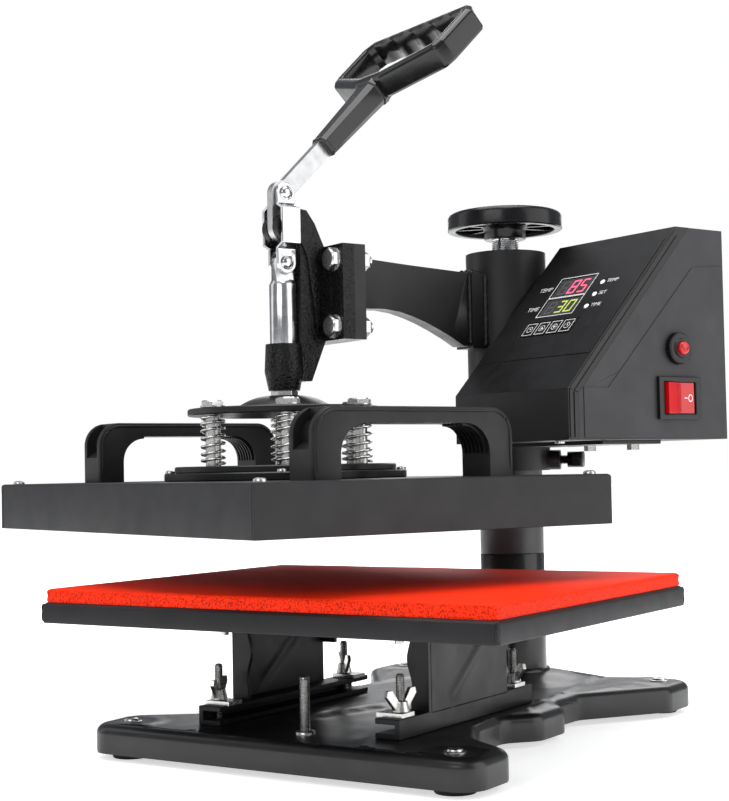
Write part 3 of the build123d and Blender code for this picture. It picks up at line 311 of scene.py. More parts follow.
# ---------------------------------------------------------------- building pieces
def finish_piece(obj, body, slot, material=None, bevel=0.0, steps=2, smooth=32.0, stands_for=()):
    obj.data.materials.clear()
    obj.data.materials.append(material or MATERIALS[slot])
    obj.data.shade_smooth()
    obj.data.set_sharp_from_angle(angle=math.radians(smooth))
    if bevel:
        modifier = obj.modifiers.new("rounded edges", "BEVEL")
        modifier.width = bevel / 1000
        modifier.segments = steps
        modifier.limit_method = "ANGLE"
        modifier.angle_limit = math.radians(30)
        modifier.harden_normals = True
    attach(obj, body)
    if stands_for:
        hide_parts(*stands_for)
    return obj


def from_bmesh(name, bm, place):
    bmesh.ops.recalc_face_normals(bm, faces=bm.faces)
    bm.transform(place)
    mesh = bpy.data.meshes.new(name)
    bm.to_mesh(mesh)
    bm.free()
    obj = bpy.data.objects.new(name, mesh)
    bpy.context.scene.collection.objects.link(obj)
    return obj


def piece(name, bm, place, body, slot, **options):
    return finish_piece(from_bmesh(name, bm, place), body, slot, **options)


def refine(node, bevel, steps=2, smooth=32.0, name=None):
    """The CAD node's own shape with rounded edges and its finish."""
    bm = bmesh.new()
    bm.from_mesh(frame["nodes"][node].data)
    bmesh.ops.remove_doubles(bm, verts=bm.verts, dist=0.000002)
    obj = from_bmesh(name or node + "_finished", bm, Matrix.Identity(4))
    return finish_piece(
        obj, BODY_OF[node], SLOT_OF[node], bevel=bevel, steps=steps, smooth=smooth, stands_for=(node,)
    )


def circle(bm, count, place):
    """A ring of vertices; place(cosine, sine) says where each one goes."""
    angles = [2 * math.pi * k / count for k in range(count)]
    return [bm.verts.new(place(math.cos(a), math.sin(a))) for a in angles]


def band(bm, a, b):
    """The wall between two rings with as many vertices."""
    for k in range(len(a)):
        n = (k + 1) % len(a)
        bm.faces.new((a[k], a[n], b[n], b[k]))


def walls(bm, rings, *caps):
    """The walls from each ring to the next, and a face over each of the caps."""
    for a, b in zip(rings, rings[1:]):
        band(bm, a, b)
    for cap in caps:
        bm.faces.new(cap)


def prism(bm, low, high):
    """A solid between two like outlines in space."""
    low = [bm.verts.new(point) for point in low]
    high = [bm.verts.new(point) for point in high]
    bm.faces.new(low)
    bm.faces.new(high)
    band(bm, low, high)


def slab(bm, outline, z0, z1):
    """An outline in (x, y), as thick as z0..z1."""
    prism(bm, [(x, y, z0) for x, y in outline], [(x, y, z1) for x, y in outline])


def brick(bm, x0, x1, y0, y1, z0, z1):
    slab(bm, [(x0, y0), (x1, y0), (x1, y1), (x0, y1)], z0, z1)


def lathe(bm, profile, centre=(0, 0), around=64):
    """Turns a profile of (radius, z) about a vertical axis. Ends at radius 0 are closed."""
    rings = []
    for radius, z in profile:
        if radius < 1e-6:
            rings.append([bm.verts.new((centre[0], centre[1], z))])
            continue
        rings.append(circle(bm, around, lambda c, s: (centre[0] + radius * c, centre[1] + radius * s, z)))
    for a, b in zip(rings, rings[1:]):
        for k in range(around):
            n = (k + 1) % around
            if len(a) == 1:
                bm.faces.new((a[0], b[k], b[n]))
            elif len(b) == 1:
                bm.faces.new((a[k], a[n], b[0]))
            else:
                bm.faces.new((a[k], a[n], b[n], b[k]))


def rounded(points, radius, steps=6):
    """The outline with each corner rounded by an arc that meets both sides."""
    out = []
    count = len(points)
    for i in range(count):
        p = Vector(points[i])
        a = (Vector(points[i - 1]) - p).normalized()
        b = (Vector(points[(i + 1) % count]) - p).normalized()
        half = math.acos(max(-1, min(1, a.dot(b)))) / 2
        reach = radius / math.tan(half)
        centre = p + (a + b).normalized() * (radius / math.sin(half))
        start = p + a * reach - centre
        sweep = math.pi - 2 * half
        turn = 1 if start.x * (b - a).y - start.y * (b - a).x > 0 else -1
        for k in range(steps + 1):
            angle = turn * sweep * k / steps
            c, s = math.cos(angle), math.sin(angle)
            out.append((centre.x + start.x * c - start.y * s, centre.y + start.x * s + start.y * c))
    return out


def thread_profile(radius, z0, z1, pitch=0.9, depth=0.35):
    """Rings of a screw thread, from z0 up to z1, with a small point at the end."""
    profile = []
    z = z0
    while z < z1 - 1.2:
        profile.append((radius, z))
        profile.append((radius - depth, z + pitch / 2))
        z += pitch
    profile.append((radius - depth, z1 - 0.8))
    profile.append((radius - 1.0, z1))
    profile.append((0, z1))
    return profile


def smoothstep(value, low, high):
    t = max(0.0, min(1.0, (value - low) / (high - low)))
    return t * t * (3 - 2 * t)


def distance_to_run(x, y, a, b):
    """How far (x, y) is from the straight run a to b."""
    px, py = x - a[0], y - a[1]
    dx, dy = b[0] - a[0], b[1] - a[1]
    t = max(0.0, min(1.0, (px * dx + py * dy) / (dx * dx + dy * dy)))
    return math.hypot(px - t * dx, py - t * dy)


# ---------------------------------------------------------------- base
def base_outline():
    right = [
        (129, -291), (129, -250), (97, -228), (77, -192), (74, -158), (90, -140),
        (90, -106), (76, -92), (77, -62), (116, -6), (117, 35), (84, 37), (62, 28),
    ]
    return right + [(-x, y) for x, y in reversed(right)]


FEET = [(-108.7, -274.0), (108.7, -274.0), (-99.0, 17.0), (99.0, 17.0)]
STUDS = [(-60.0, -253.0), (-60.0, -123.0), (60.0, -247.0), (60.0, -117.0)]
RIBS = [
    ((93.7, -226), (77, -131), 1.5), ((83, -138), (50, 26), 1.4), ((68, -96), (92, -8), 1.1),
    ((47.5, -272), (13.4, -152.5), 1.2),
]


def base_height(x, y):
    """Height of the pressed top of the base: a sunk middle, raised beads and a dome about the post."""
    side = abs(x)
    z = 20.0
    edge_x = 49.5 + (y + 272) * (15.0 - 49.5) / (-152.5 + 272)
    sunk = smoothstep(edge_x - side, -2.5, 2.5) * smoothstep(y, -286, -276) * (1 - smoothstep(y, -158, -140))
    z -= 2.4 * sunk
    for a, b, rise in RIBS:
        d = distance_to_run(side, y, a, b)
        z += rise * (1 - smoothstep(d, 0.5, 4.5))
    r = math.hypot(x, y)
    z += 4.6 * (1 - smoothstep(r, 25, 52)) - 0.9 * smoothstep(r, 52, 58) * (1 - smoothstep(r, 62, 74))
    for fx, fy in FEET:
        d = math.hypot(x - fx, y - fy)
        z = z + (20.0 - z) * (1 - smoothstep(d, 9, 15)) + 1.1 * smoothstep(d, 11, 15) * (
            1 - smoothstep(d, 15, 22)
        )
    lane = max(abs(side - 58.2) - 8.5, abs(y - (-181 if x > 0 else -187)) - 79)
    z = z + (19.9 - z) * (1 - smoothstep(lane, 0, 4))
    return z


def base_shell():
    outline = [Vector(p) for p in rounded(base_outline(), 15, 7)]
    count = len(outline)

    def inset(amount):
        ring = []
        for i in range(count):
            a, b = outline[i - 1], outline[(i + 1) % count]
            t = (b - a).normalized()
            ring.append(outline[i] + Vector((-t.y, t.x)) * amount)
        return ring

    area = sum(
        outline[i].x * outline[(i + 1) % count].y - outline[(i + 1) % count].x * outline[i].y
        for i in range(count)
    )
    sign = 1 if area > 0 else -1
    rings = [(0.2, 3.5), (0.0, 4.6), (0.0, 14.6)]
    for k in range(1, 8):
        a = math.pi / 2 * k / 7
        rings.append((6.4 * (1 - math.cos(a)), 14.6 + 5.4 * math.sin(a)))
    bm = bmesh.new()
    made = []
    for amount, z in rings:
        made.append([bm.verts.new((p.x, p.y, z)) for p in inset(sign * amount)])
    walls(bm, made)
    border = inset(sign * 6.4)
    points = [p.copy() for p in border]
    step = 4.0
    inner = [p.copy() for p in inset(sign * 8.6)]
    y = -296.0
    row = 0
    while y < 42:
        x = -130.0 + (step / 2 if row % 2 else 0)
        while x < 131:
            if geometry_inside(inner, x, y):
                points.append(Vector((x, y)))
            x += step
        y += step * 0.86
        row += 1
    edges = [(i, (i + 1) % count) for i in range(count)]
    verts, _, faces, _, _, _ = geometry.delaunay_2d_cdt(points, edges, [], 1, 0.001)
    top = {}
    for i, p in enumerate(verts):
        if i < count:
            top[i] = made[-1][i]
        else:
            top[i] = bm.verts.new((p.x, p.y, base_height(p.x, p.y)))
    for f in faces:
        try:
            bm.faces.new([top[i] for i in f])
        except ValueError:
            pass
    under = [bm.verts.new((p.x, p.y, 3.5)) for p in inset(sign * 3.0)]
    roof = [bm.verts.new((p.x, p.y, 16.0)) for p in inset(sign * 3.2)]
    for low, high in ((made[0], under), (under, roof)):
        for i in range(count):
            j = (i + 1) % count
            bm.faces.new((low[i], high[i], high[j], low[j]))
    bm.faces.new(roof)
    for fx, fy in FEET:
        lathe(bm, [(13, 16), (13, 5.0), (0, 5.0)], (fx, fy), 32)
    piece("base_pressing", bm, BASE, "base", "base_black", smooth=50, stands_for=("base_plate",))


def geometry_inside(ring, x, y):
    inside = False
    j = len(ring) - 1
    for i in range(len(ring)):
        a, b = ring[i], ring[j]
        if (a.y > y) != (b.y > y) and x < (b.x - a.x) * (y - a.y) / (b.y - a.y) + a.x:
            inside = not inside
        j = i
    return inside


def base_holes():
    """Punched holes in the pressing, each a thin turned-down lip round a throat of painted shade, all in the
    painted shade colour.
    """
    bm = bmesh.new()
    for x, y in ((58, -281), (64, -284), (-58, -281), (88, -283), (-88, -283), (88, -96), (-88, -96)):
        z = base_height(x, y)
        lathe(
            bm, [(2.9, z + 0.12), (2.5, z + 0.22), (2.0, z + 0.10), (1.9, z - 0.1), (0, z - 0.12)], (x, y), 20
        )
    piece("base_hole_lips", bm, BASE, "base", "base_black", material=SEAM_SHADE)


def collar_of_post():
    bm = bmesh.new()
    profile = [(24.6, 23.2), (24.4, 25.0), (23.6, 26.4), (22.6, 27.0), (22.0, 27.2)]
    lathe(bm, profile, (0, 0), 72)
    piece("post_weld", bm, BASE, "base", "post_black")


def posts():
    bm = bmesh.new()
    lathe(bm, [(21.0, 25), (22.05, 25.2), (22.05, 104.2), (21.7, 105.0), (18, 105.0)], (0, 0), 96)
    piece("post_lower_tube", bm, BASE, "base", "post_black", stands_for=("post_lower",))
    bm = bmesh.new()
    lathe(bm, [(18, 105.0), (21.5, 105.0), (21.9, 105.5), (21.9, 284.2), (21.2, 285), (0, 285)], (0, 0), 96)
    piece("post_upper_tube", bm, BASE, "base", "post_upper_black", stands_for=("post_upper",))
    bm = bmesh.new()
    lathe(bm, [(21.95, 170), (24.0, 170), (24.4, 170.6), (24.4, 280), (21.95, 280)], (0, 0), 96)
    piece("lift_sleeve", bm, BASE, "lift", "bronze", stands_for=("lift_bush",))


def cross_recess(bm, x, y, top, size, depth=0.6):
    """A dark cross of painted shade, set just above a screw head's face, where its recess is."""
    for a in (0, 90):
        w, l = (size * 0.22, size) if a else (size, size * 0.22)
        slab(bm, [(x - w, y - l), (x + w, y - l), (x + w, y + l), (x - w, y + l)], top - depth, top + 0.06)


def pan_head(bm, x, y, z, radius, height):
    lathe(
        bm,
        [(radius * wide, z + height * up) for wide, up in ((1, 0), (1, 0.35), (0.9, 0.75), (0.62, 1), (0, 1))],
        (x, y), 28
    )


def base_fixings():
    bm = bmesh.new()
    # dark holds the crosses of painted shade in the screw recesses
    dark = bmesh.new()
    for x, y in FEET:
        lathe(bm, [(6.0, 20.0), (6.0, 20.7), (5.2, 20.9)], (x, y), 28)
        pan_head(bm, x, y, 20.5, 4.4, 1.9)
        cross_recess(dark, x, y, 22.4, 2.2)
    piece("foot_screw_heads", bm, BASE, "base", "zinc", stands_for=("foot_screws",))
    piece("foot_screw_recesses", dark, BASE, "base", "zinc", material=SEAM_SHADE)
    bm = bmesh.new()
    for x, y in FEET:
        lathe(bm, [(0, 0), (10.6, 0), (11.0, 0.5), (12.2, 4.4), (12.5, 5.0), (0, 5.0)], (x, y), 40)
    piece("feet_moulded", bm, BASE, "base", "foot_rubber", stands_for=("rubber_feet",))
    bm = bmesh.new()
    for x, y in STUDS:
        lathe(bm, thread_profile(2.5, 19.0, 54.0), (x, y), 20)
    piece("rail_stud_threads", bm, BASE, "base", "zinc", smooth=60, stands_for=("rail_studs",))
    bm = bmesh.new()
    lathe(bm, [(5.6, 17.4), (5.6, 19.2), (4.6, 19.9), (3.0, 20.0)], (0, -252), 32)
    lathe(bm, thread_profile(3.0, 19.0, 50.0, pitch=1.0, depth=0.45), (0, -252), 24)
    piece("centre_stud_thread", bm, BASE, "base", "zinc", smooth=60, stands_for=("centre_stud",))


def leg(side):
    """A pressed leg: a C-shaped foot rail, a creased web and folded front and rear flanges."""
    top = 87.7
    sx = 1 if side == "right" else -1
    shift = 0.0 if side == "right" else -6.0
    bm = bmesh.new()

    def add_prism(outline, y0, y1):
        front, rear = [[(sx * x, y + shift, z) for x, z in outline] for y in (y0, y1)]
        prism(bm, front, rear)

    rail = [(50.5, 20.0), (66, 20.0), (66, 31), (50.5, 31), (50.5, 28), (63, 28), (63, 23), (50.5, 23)]
    add_prism(rail, -258.5, -103.5)
    add_prism([(50.5, top - 3), (66, top - 3), (66, top), (50.5, top)], -254, -113)
    # the web, with a crease pressed across it
    columns, rows = 44, 26
    front, rear, low, high = -223.8, -136.0, 30.0, top - 1.5

    def crease(y, z):
        a, b = (front + 23, low + 7), (rear - 13, high - 11)
        d = distance_to_run(y, z, a, b)
        return 0.8 * (1 - smoothstep(d, 0.3, 5.0))

    for face_x in (66.0, 63.0):
        grid = []
        for i in range(columns + 1):
            y = front + (rear - front) * i / columns
            line = []
            for j in range(rows + 1):
                z = low + (high - low) * j / rows
                line.append(bm.verts.new((sx * (face_x + crease(y, z)), y + shift, z)))
            grid.append(line)
        for i in range(columns):
            for j in range(rows):
                bm.faces.new((grid[i][j], grid[i + 1][j], grid[i + 1][j + 1], grid[i][j + 1]))
    # front flange with a waved free edge
    waves = 30
    for y0, y1, x_in, z_low in ((front - 3, front, 54.0, 30.0), (rear, rear + 3, 54.0, 55.0)):
        edge = []
        for k in range(waves + 1):
            z = z_low + (high - z_low) * k / waves
            u = k / waves
            edge.append((x_in + 2.2 * math.sin(u * math.pi) ** 2 * math.sin(u * 9.0), z))
        outline = edge + [(65.9, high), (65.9, z_low)]
        add_prism(outline, y0, y1)
    piece(
        "leg_" + side + "_pressed", bm, BASE, "base", "leg_black", smooth=28, bevel=0.5,
        stands_for=("leg_" + side,)
    )


def lower_platen():
    """The shallow pan under the pad, with folded and welded corners."""
    bm = bmesh.new()
    half, y0, y1, top, low = 151.5, -304.0, -65.0, 90.7, 78.7
    notch = 2.2

    def ring(shrink, z, cut):
        a, b, c, d = -half + shrink, half - shrink, y0 + shrink, y1 - shrink
        points = []
        for x, y, sx, sy in ((a, c, 1, 1), (b, c, -1, 1), (b, d, -1, -1), (a, d, 1, -1)):
            first, second = (x, y + sy * cut), (x + sx * cut, y)
            points += [first, second] if sx * sy > 0 else [second, first]
        return [bm.verts.new((x, y, z)) for x, y in points]

    rings = [
        ring(3.0, low, 1.2), ring(0.4, low, notch), ring(0, low + 0.5, notch), ring(0, top - 2.4, notch),
        ring(0.35, top - 1.5, notch * 0.9), ring(2.0, top - 0.15, 0.8), ring(2.6, top, 0.8),
    ]
    walls(bm, rings, rings[-1])
    roof = ring(3.0, top - 3.2, 1.2)
    for i in range(8):
        j = (i + 1) % 8
        bm.faces.new((rings[0][i], roof[i], roof[j], rings[0][j]))
    bm.faces.new(roof)
    piece("lower_pan", bm, BASE, "base", "pan_black", smooth=25, bevel=0.25, stands_for=("lower_platen",))
    bm = bmesh.new()
    for x, y in (
        (-half + 1.2, y0 + 1.2), (half - 1.2, y0 + 1.2), (half - 1.2, y1 - 1.2), (-half + 1.2, y1 - 1.2)
    ):
        lathe(
            bm,
            [(0, low + 1), (1.0, low + 1.4), (1.25, low + 4), (0.95, low + 7), (1.2, low + 9.4),
             (0.6, top - 0.9), (0, top - 0.7)],
            (x, y), 12
        )
    piece("pan_corner_welds", bm, BASE, "base", "pan_black", material=MATERIALS["leg_black"])


def foam_pad():
    """The silicone sponge: cut sides that bow a little, a softly rounded rim and a nearly flat top."""
    half, deep, yc = 149.6, 117.6, -184.5
    low, high = 90.75, 98.55
    bm = bmesh.new()
    levels = [
        (0.5, low), (0.0, low + 1.2), (0.35, (low + high) / 2), (0.0, high - 1.6), (0.5, high - 0.5),
        (1.7, high)
    ]
    rings = []
    for shrink, z in levels:
        corner = 2.4
        points = rounded([(-half + shrink, yc - deep + shrink), (half - shrink, yc - deep + shrink),
                          (half - shrink, yc + deep - shrink), (-half + shrink, yc + deep - shrink)], corner, 4)
        dense = []
        for i in range(len(points)):
            a, b = Vector(points[i]), Vector(points[(i + 1) % len(points)])
            pieces_here = max(1, int((b - a).length / 5))
            for k in range(pieces_here):
                dense.append(a + (b - a) * k / pieces_here)
        rings.append(dense)
    count = min(len(r) for r in rings)
    made = []
    for (shrink, z), dense in zip(levels, rings):
        line = []
        for i in range(count):
            p = dense[i]
            wobble = 0.10 * math.sin(p.x * 0.09 + 1.3) * math.sin(p.y * 0.11) + 0.05 * math.sin(p.x * 0.31)
            line.append(bm.verts.new((p.x, p.y, z + (wobble if z > low + 2 else 0) * 0.6 - 0.06)))
        made.append(line)
    walls(bm, made, made[-1], made[0])
    pad = piece("silicone_pad", bm, BASE, "base", "foam", smooth=60, stands_for=("foam_pad",))


def build_base():
    base_shell()
    base_holes()
    collar_of_post()
    posts()
    base_fixings()
    leg("left")
    leg("right")
    lower_platen()
    foam_pad()
    refine("rail_clips", 0.5)
    for name in ("wing_nut_front_left", "wing_nut_rear_left", "wing_nut_front_right", "wing_nut_rear_right"):
        refine(name, 0.6, steps=3)
    refine("platen_bolts", 0.25)


# ---------------------------------------------------------------- post head, wheel and arm
def handwheel():
    bm = bmesh.new()
    rim_in, spoke = 34.4, 1.2
    outer = [
        (
            rim_in, WHEEL_BOTTOM + 0.5
        ), (34.8, WHEEL_BOTTOM), (39.2, WHEEL_BOTTOM), (WHEEL_R, 330.3), (WHEEL_R, 338.6),
        (39.6, 340.0), (38.4, 341.4), (
            36.2, WHEEL_TOP
        ), (33.0, 342.1), (25.0, 341.2), (16, 340.8), (13.5, 341.8),
        (0, 342.0),
    ]
    lathe(bm, outer, (0, 0), 96)
    under = [
        (rim_in, WHEEL_BOTTOM + 0.5), (34.0, 338.4), (22.0, 338.4), (15.0, 330.4), (HUB_R, HUB_TOP),
        (HUB_R, HUB_BOTTOM + 0.5), (14.0, HUB_BOTTOM), (7.5, HUB_BOTTOM),
    ]
    lathe(bm, under, (0, 0), 96)
    for k in range(10):
        a = math.radians(36 * k + 20)
        c, s = math.cos(a), math.sin(a)
        corners = ((14.0, -spoke), (35.0, -spoke), (35.0, spoke), (14.0, spoke))
        slab(bm, [(r * c - across * s, r * s + across * c) for r, across in corners], 331.6, 338.8)
    piece("handwheel_moulded", bm, POST @ MM, "wheel", "knob_plastic", smooth=40, stands_for=("handwheel",))
    bm = bmesh.new()
    crest, root, pitch = 9.5, 8.9, 1.35
    z = POST_TOP + 0.3
    profile = [(0, z)]
    while z < HUB_BOTTOM - pitch:
        profile += [(crest, z), (crest, z + 0.5), (root, z + 0.85)]
        z += pitch
    profile.append((9.2, HUB_BOTTOM + 0.1))
    lathe(bm, profile, (0, 0), 48)
    piece("jack_thread", bm, POST @ MM, "wheel", "chrome", smooth=60, stands_for=("jack_screw",))


def sleeve():
    refine("head_sleeve", 0.7, steps=3, smooth=40)
    bm = bmesh.new()
    washer = SLEEVE_TOP + 0.3
    lathe(bm, [(16, SLEEVE_TOP), (15.7, washer), (11.7, washer), (11.4, SLEEVE_TOP)], (0, 0), 48)
    piece("sleeve_thrust_washer", bm, HEAD, "head", "zinc")
    bm = bmesh.new()
    lip, edge = SLEEVE_BOTTOM - 0.1, SLEEVE_BOTTOM + 0.2
    lathe(bm, [(24.45, edge), (24.6, lip), (27.2, lip), (27.5, edge)], (0, 0), 72)
    piece("sleeve_lip", bm, HEAD, "head", "sleeve_black", material=MATERIALS["sleeve_black"])


def weld_run(bm, points, radius, wobble=0.22):
    """A bead along a line of points, swollen here and there as a hand weld is."""
    count = len(points)
    rings = []
    for i, p in enumerate(points):
        a = points[max(0, i - 1)]
        b = points[min(count - 1, i + 1)]
        t = (Vector(b) - Vector(a)).normalized()
        u = t.orthogonal().normalized()
        w = t.cross(u)
        r = radius * (1 + wobble * math.sin(i * 1.9) + 0.12 * math.sin(i * 0.7 + 1))
        if i in (0, count - 1):
            r *= 0.4
        rings.append(circle(bm, 10, lambda c, s: Vector(p) + u * r * c + w * r * s))
    walls(bm, rings, rings[0], rings[-1])


def line3(a, b, count):
    return [tuple(a[k] + (b[k] - a[k]) * i / count for k in range(3)) for i in range(count + 1)]


def flat_radius(angle, half_across):
    """Radius of a hexagon at an angle, from half its width across flats."""
    return half_across / math.cos((angle + math.pi / 6) % (math.pi / 3) - math.pi / 6)


def arm():
    refine("arm_plate", 1.4, steps=3, smooth=35)
    bm = bmesh.new()
    for x in (-9.3, 9.3):
        weld_run(bm, line3((x, -26.8, 247), (x, -26.8, 297), 30), 1.6)
        weld_run(bm, line3((x * 0.72, -38.3, 248), (x * 0.72, -38.3, 296.6), 26), 1.3)
    weld_run(bm, line3((-7.5, -34.5, 297.8), (7.5, -34.5, 297.8), 10), 2.2, 0.35)
    weld_run(bm, line3((-7, -29.0, 297.6), (7, -29.0, 297.6), 10), 1.6, 0.35)
    for x in (-6.4, 6.4):
        weld_run(bm, line3((x, -139.4, 270), (x, -139.4, 302), 20), 1.5)
    piece("arm_welds", bm, HEAD, "head", "sleeve_black", material=MATERIALS["sleeve_black"], smooth=60)
    refine("toggle_casting", 1.0, steps=3, smooth=35)
    refine("lever_pin", 0.3)
    bolts = bmesh.new()
    for x in (-18.5, 18.5):
        for z in (255.5, 298.0):
            for y, height, up in ((-157.2, 5.5, -1), (-139.8, 6.5, 1)):
                low, mid, high = [], [], []
                for k in range(24):
                    a = 2 * math.pi * k / 24
                    flat = flat_radius(a, 6.5)
                    for ring, r, out in ((low, flat, 0.9), (mid, flat, height - 1.0), (high, 6.0, height)):
                        ring.append(bolts.verts.new((x + r * math.cos(a), y + up * out, z + r * math.sin(a))))
                walls(bolts, (low, mid, high), high, low)
                rim = [
                    circle(bolts, 24, lambda c, s: (x + 7.6 * c, y + up * out, z + 7.6 * s))
                    for out in (0.0, 0.9)
                ]
                walls(bolts, rim, rim[1])
                if up > 0:
                    end = [
                        circle(bolts, 20, lambda c, s: (x + 4.0 * c, y + out, z + 4.0 * s))
                        for out in (6.0, 9.4)
                    ]
                    walls(bolts, end, end[1])
    piece("flange_bolt_heads", bolts, HEAD, "head", "zinc", smooth=28, bevel=0.2, stands_for=("flange_bolts",))


# ---------------------------------------------------------------- lever, ring and straps
def lever_parts():
    refine("lever_bar", 0.7, steps=3, smooth=35)
    grip = bmesh.new()
    stations = [
        (45.0, 5.6, 5.2), (45.2, 7.0, 6.6), (47.4, 7.9, 7.4), (48.0, 7.5, 7.0),
        (66, 8.2, 7.6), (90, 9.1, 8.4), (100, 9.5, 8.8),
        (101.4, 9.6, 8.9), (101.8, 10.3, 9.5), (105.6, 10.5, 9.7), (107, 10.1, 9.3), (112, 9.6, 8.8),
    ]
    rings = []
    for s, half_w, half_t in stations:
        flat = 0.62
        outline = [
            (half_w, half_t * flat), (half_w * flat, half_t), (
                -half_w * flat, half_t
            ), (-half_w, half_t * flat),
            (
                -half_w, -half_t * flat
            ), (-half_w * flat, -half_t), (half_w * flat, -half_t), (half_w, -half_t * flat),
        ]
        rings.append([grip.verts.new((x, y, s)) for x, y in outline])
    walls(grip, rings, rings[0], rings[-1])
    piece(
        "lever_grip_moulded", grip, LEVER, "lever", "grip_plastic", smooth=34, bevel=1.7, steps=4,
        stands_for=("lever_grip",)
    )


def ring_line():
    w, s0, s1, move = 60.0, 104.0, 168.0, 4.0
    points = [
        (-14.0 - move, s0), (14.0 - move, s0), (w - 3.0, s0 + 14), (w, s0 + 22), (w, s1 - 9), (w - 8.0, s1),
        (8.0 - w, s1), (-w, s1 - 9), (-w, s0 + 22), (3.0 - w, s0 + 14),
    ]
    return [(x + move, y) for x, y in points]


def hand_ring():
    """The hoop: bevelled rims, a far bar with four finger hollows on its inner wall."""
    up, down = 10.5, 6.5
    bm = bmesh.new()
    outer = rounded(ring_line(), 4.5, 5)

    def densify(points):
        out = []
        for i in range(len(points)):
            a, b = Vector(points[i]), Vector(points[(i + 1) % len(points)])
            n = max(1, int((b - a).length / 2.2))
            for k in range(n):
                out.append(a + (b - a) * k / n)
        return out

    outer = densify(outer)
    count = len(outer)

    def shift(amount, fingers=0.0):
        ring = []
        for i in range(count):
            a, b = outer[i - 1], outer[(i + 1) % count]
            t = (b - a).normalized()
            p = outer[i] + Vector((-t.y, t.x)) * amount
            if fingers and p.y > 150 and abs(p.x - 4) < 44:
                bump = abs(math.sin((p.x + 40) / 88 * 4 * math.pi))
                p.y += fingers * (bump - 0.55) * (1 - smoothstep(abs(p.x - 4), 37, 44))
            ring.append(p)
        return ring

    # across the band: outer wall, bevelled upper rim, inner wall, lower rim
    section = [
        (
            0.0, -down + 1.6
        ), (0.0, up - 3.6), (0.5, up - 2.2), (2.6, up - 0.3), (3.6, up), (6.2, up), (7.6, up - 0.6),
        (8.5, up - 2.4), (8.7, 2.0), (8.5, -down + 1.6), (7.4, -down), (1.2, -down),
    ]
    rings = []
    for amount, height in section:
        fingers = 3.0 if amount > 7.0 else 0.0
        rings.append([bm.verts.new((p.x, -height, p.y)) for p in shift(amount, fingers)])
    walls(bm, rings + rings[:1])
    piece("hand_hoop", bm, LEVER, "lever", "grip_plastic", smooth=36, stands_for=("hand_ring",))


def dome(bm, centre, radius, height, side):
    """A rivet head on the X axis: a low ring and a dome inside it."""
    profile = [
        (radius, 0), (radius, 0.5), (radius * 0.86, 0.9), (radius * 0.8, 0.7), (radius * 0.74, 1.0),
        (radius * 0.5, height - 0.3), (0, height)
    ]
    rings = []
    for r, out in profile:
        x = centre[0] + side * out
        if r < 1e-6:
            rings.append([bm.verts.new((x, centre[1], centre[2]))])
        else:
            rings.append(circle(bm, 28, lambda c, s: (x, centre[1] + r * c, centre[2] + r * s)))
    for a, b in zip(rings, rings[1:]):
        for k in range(28):
            n = (k + 1) % 28
            bm.faces.new((a[k], a[n], b[0]) if len(b) == 1 else (a[k], a[n], b[n], b[k]))


def straps():
    refine("toggle_straps", 0.6, steps=3, smooth=40)
    bm = bmesh.new()
    for z in (340.1, 296.0):
        for side in (-1, 1):
            dome(bm, (side * 6.0, -ARM_REACH, z), 4.6, 2.0, side)
    shank = 3.4
    walls(
        bm, [circle(bm, 24, lambda c, s: (x, -ARM_REACH + shank * c, 340.1 + shank * s)) for x in (-6.0, 6.0)]
    )
    piece("rivet_heads", bm, HEAD, "straps", "chrome", smooth=50, stands_for=("link_rivets",))


# ---------------------------------------------------------------- press unit
def guide_points():
    out = []
    for k in range(6):
        a = math.radians(30 + 60 * k)
        out.append((52 * math.cos(a), 52 * math.sin(a)))
    return out


def plunger():
    refine("plunger_rod", 0.5, steps=2, smooth=40)
    refine("lock_nut", 0.4)
    bm = bmesh.new()
    profile = [
        (0, 200.0), (60.4, 200.0), (61.0, 200.6), (61.0, 203.6), (60.2, 204.3), (33.0, 204.3), (31.0, 204.45)
    ]
    for k in range(1, 13):
        t = k / 12
        profile.append((31.0 - 21.5 * t, 204.45 + 7.75 * (1 - (1 - t) ** 2.0)))
    profile += [(9.0, 212.25), (6.5, 212.2)]
    lathe(bm, profile, (0, 0), 128)
    piece("pressure_dish", bm, PLATEN, "plunger", "disc_black", smooth=30, stands_for=("pressure_plate",))


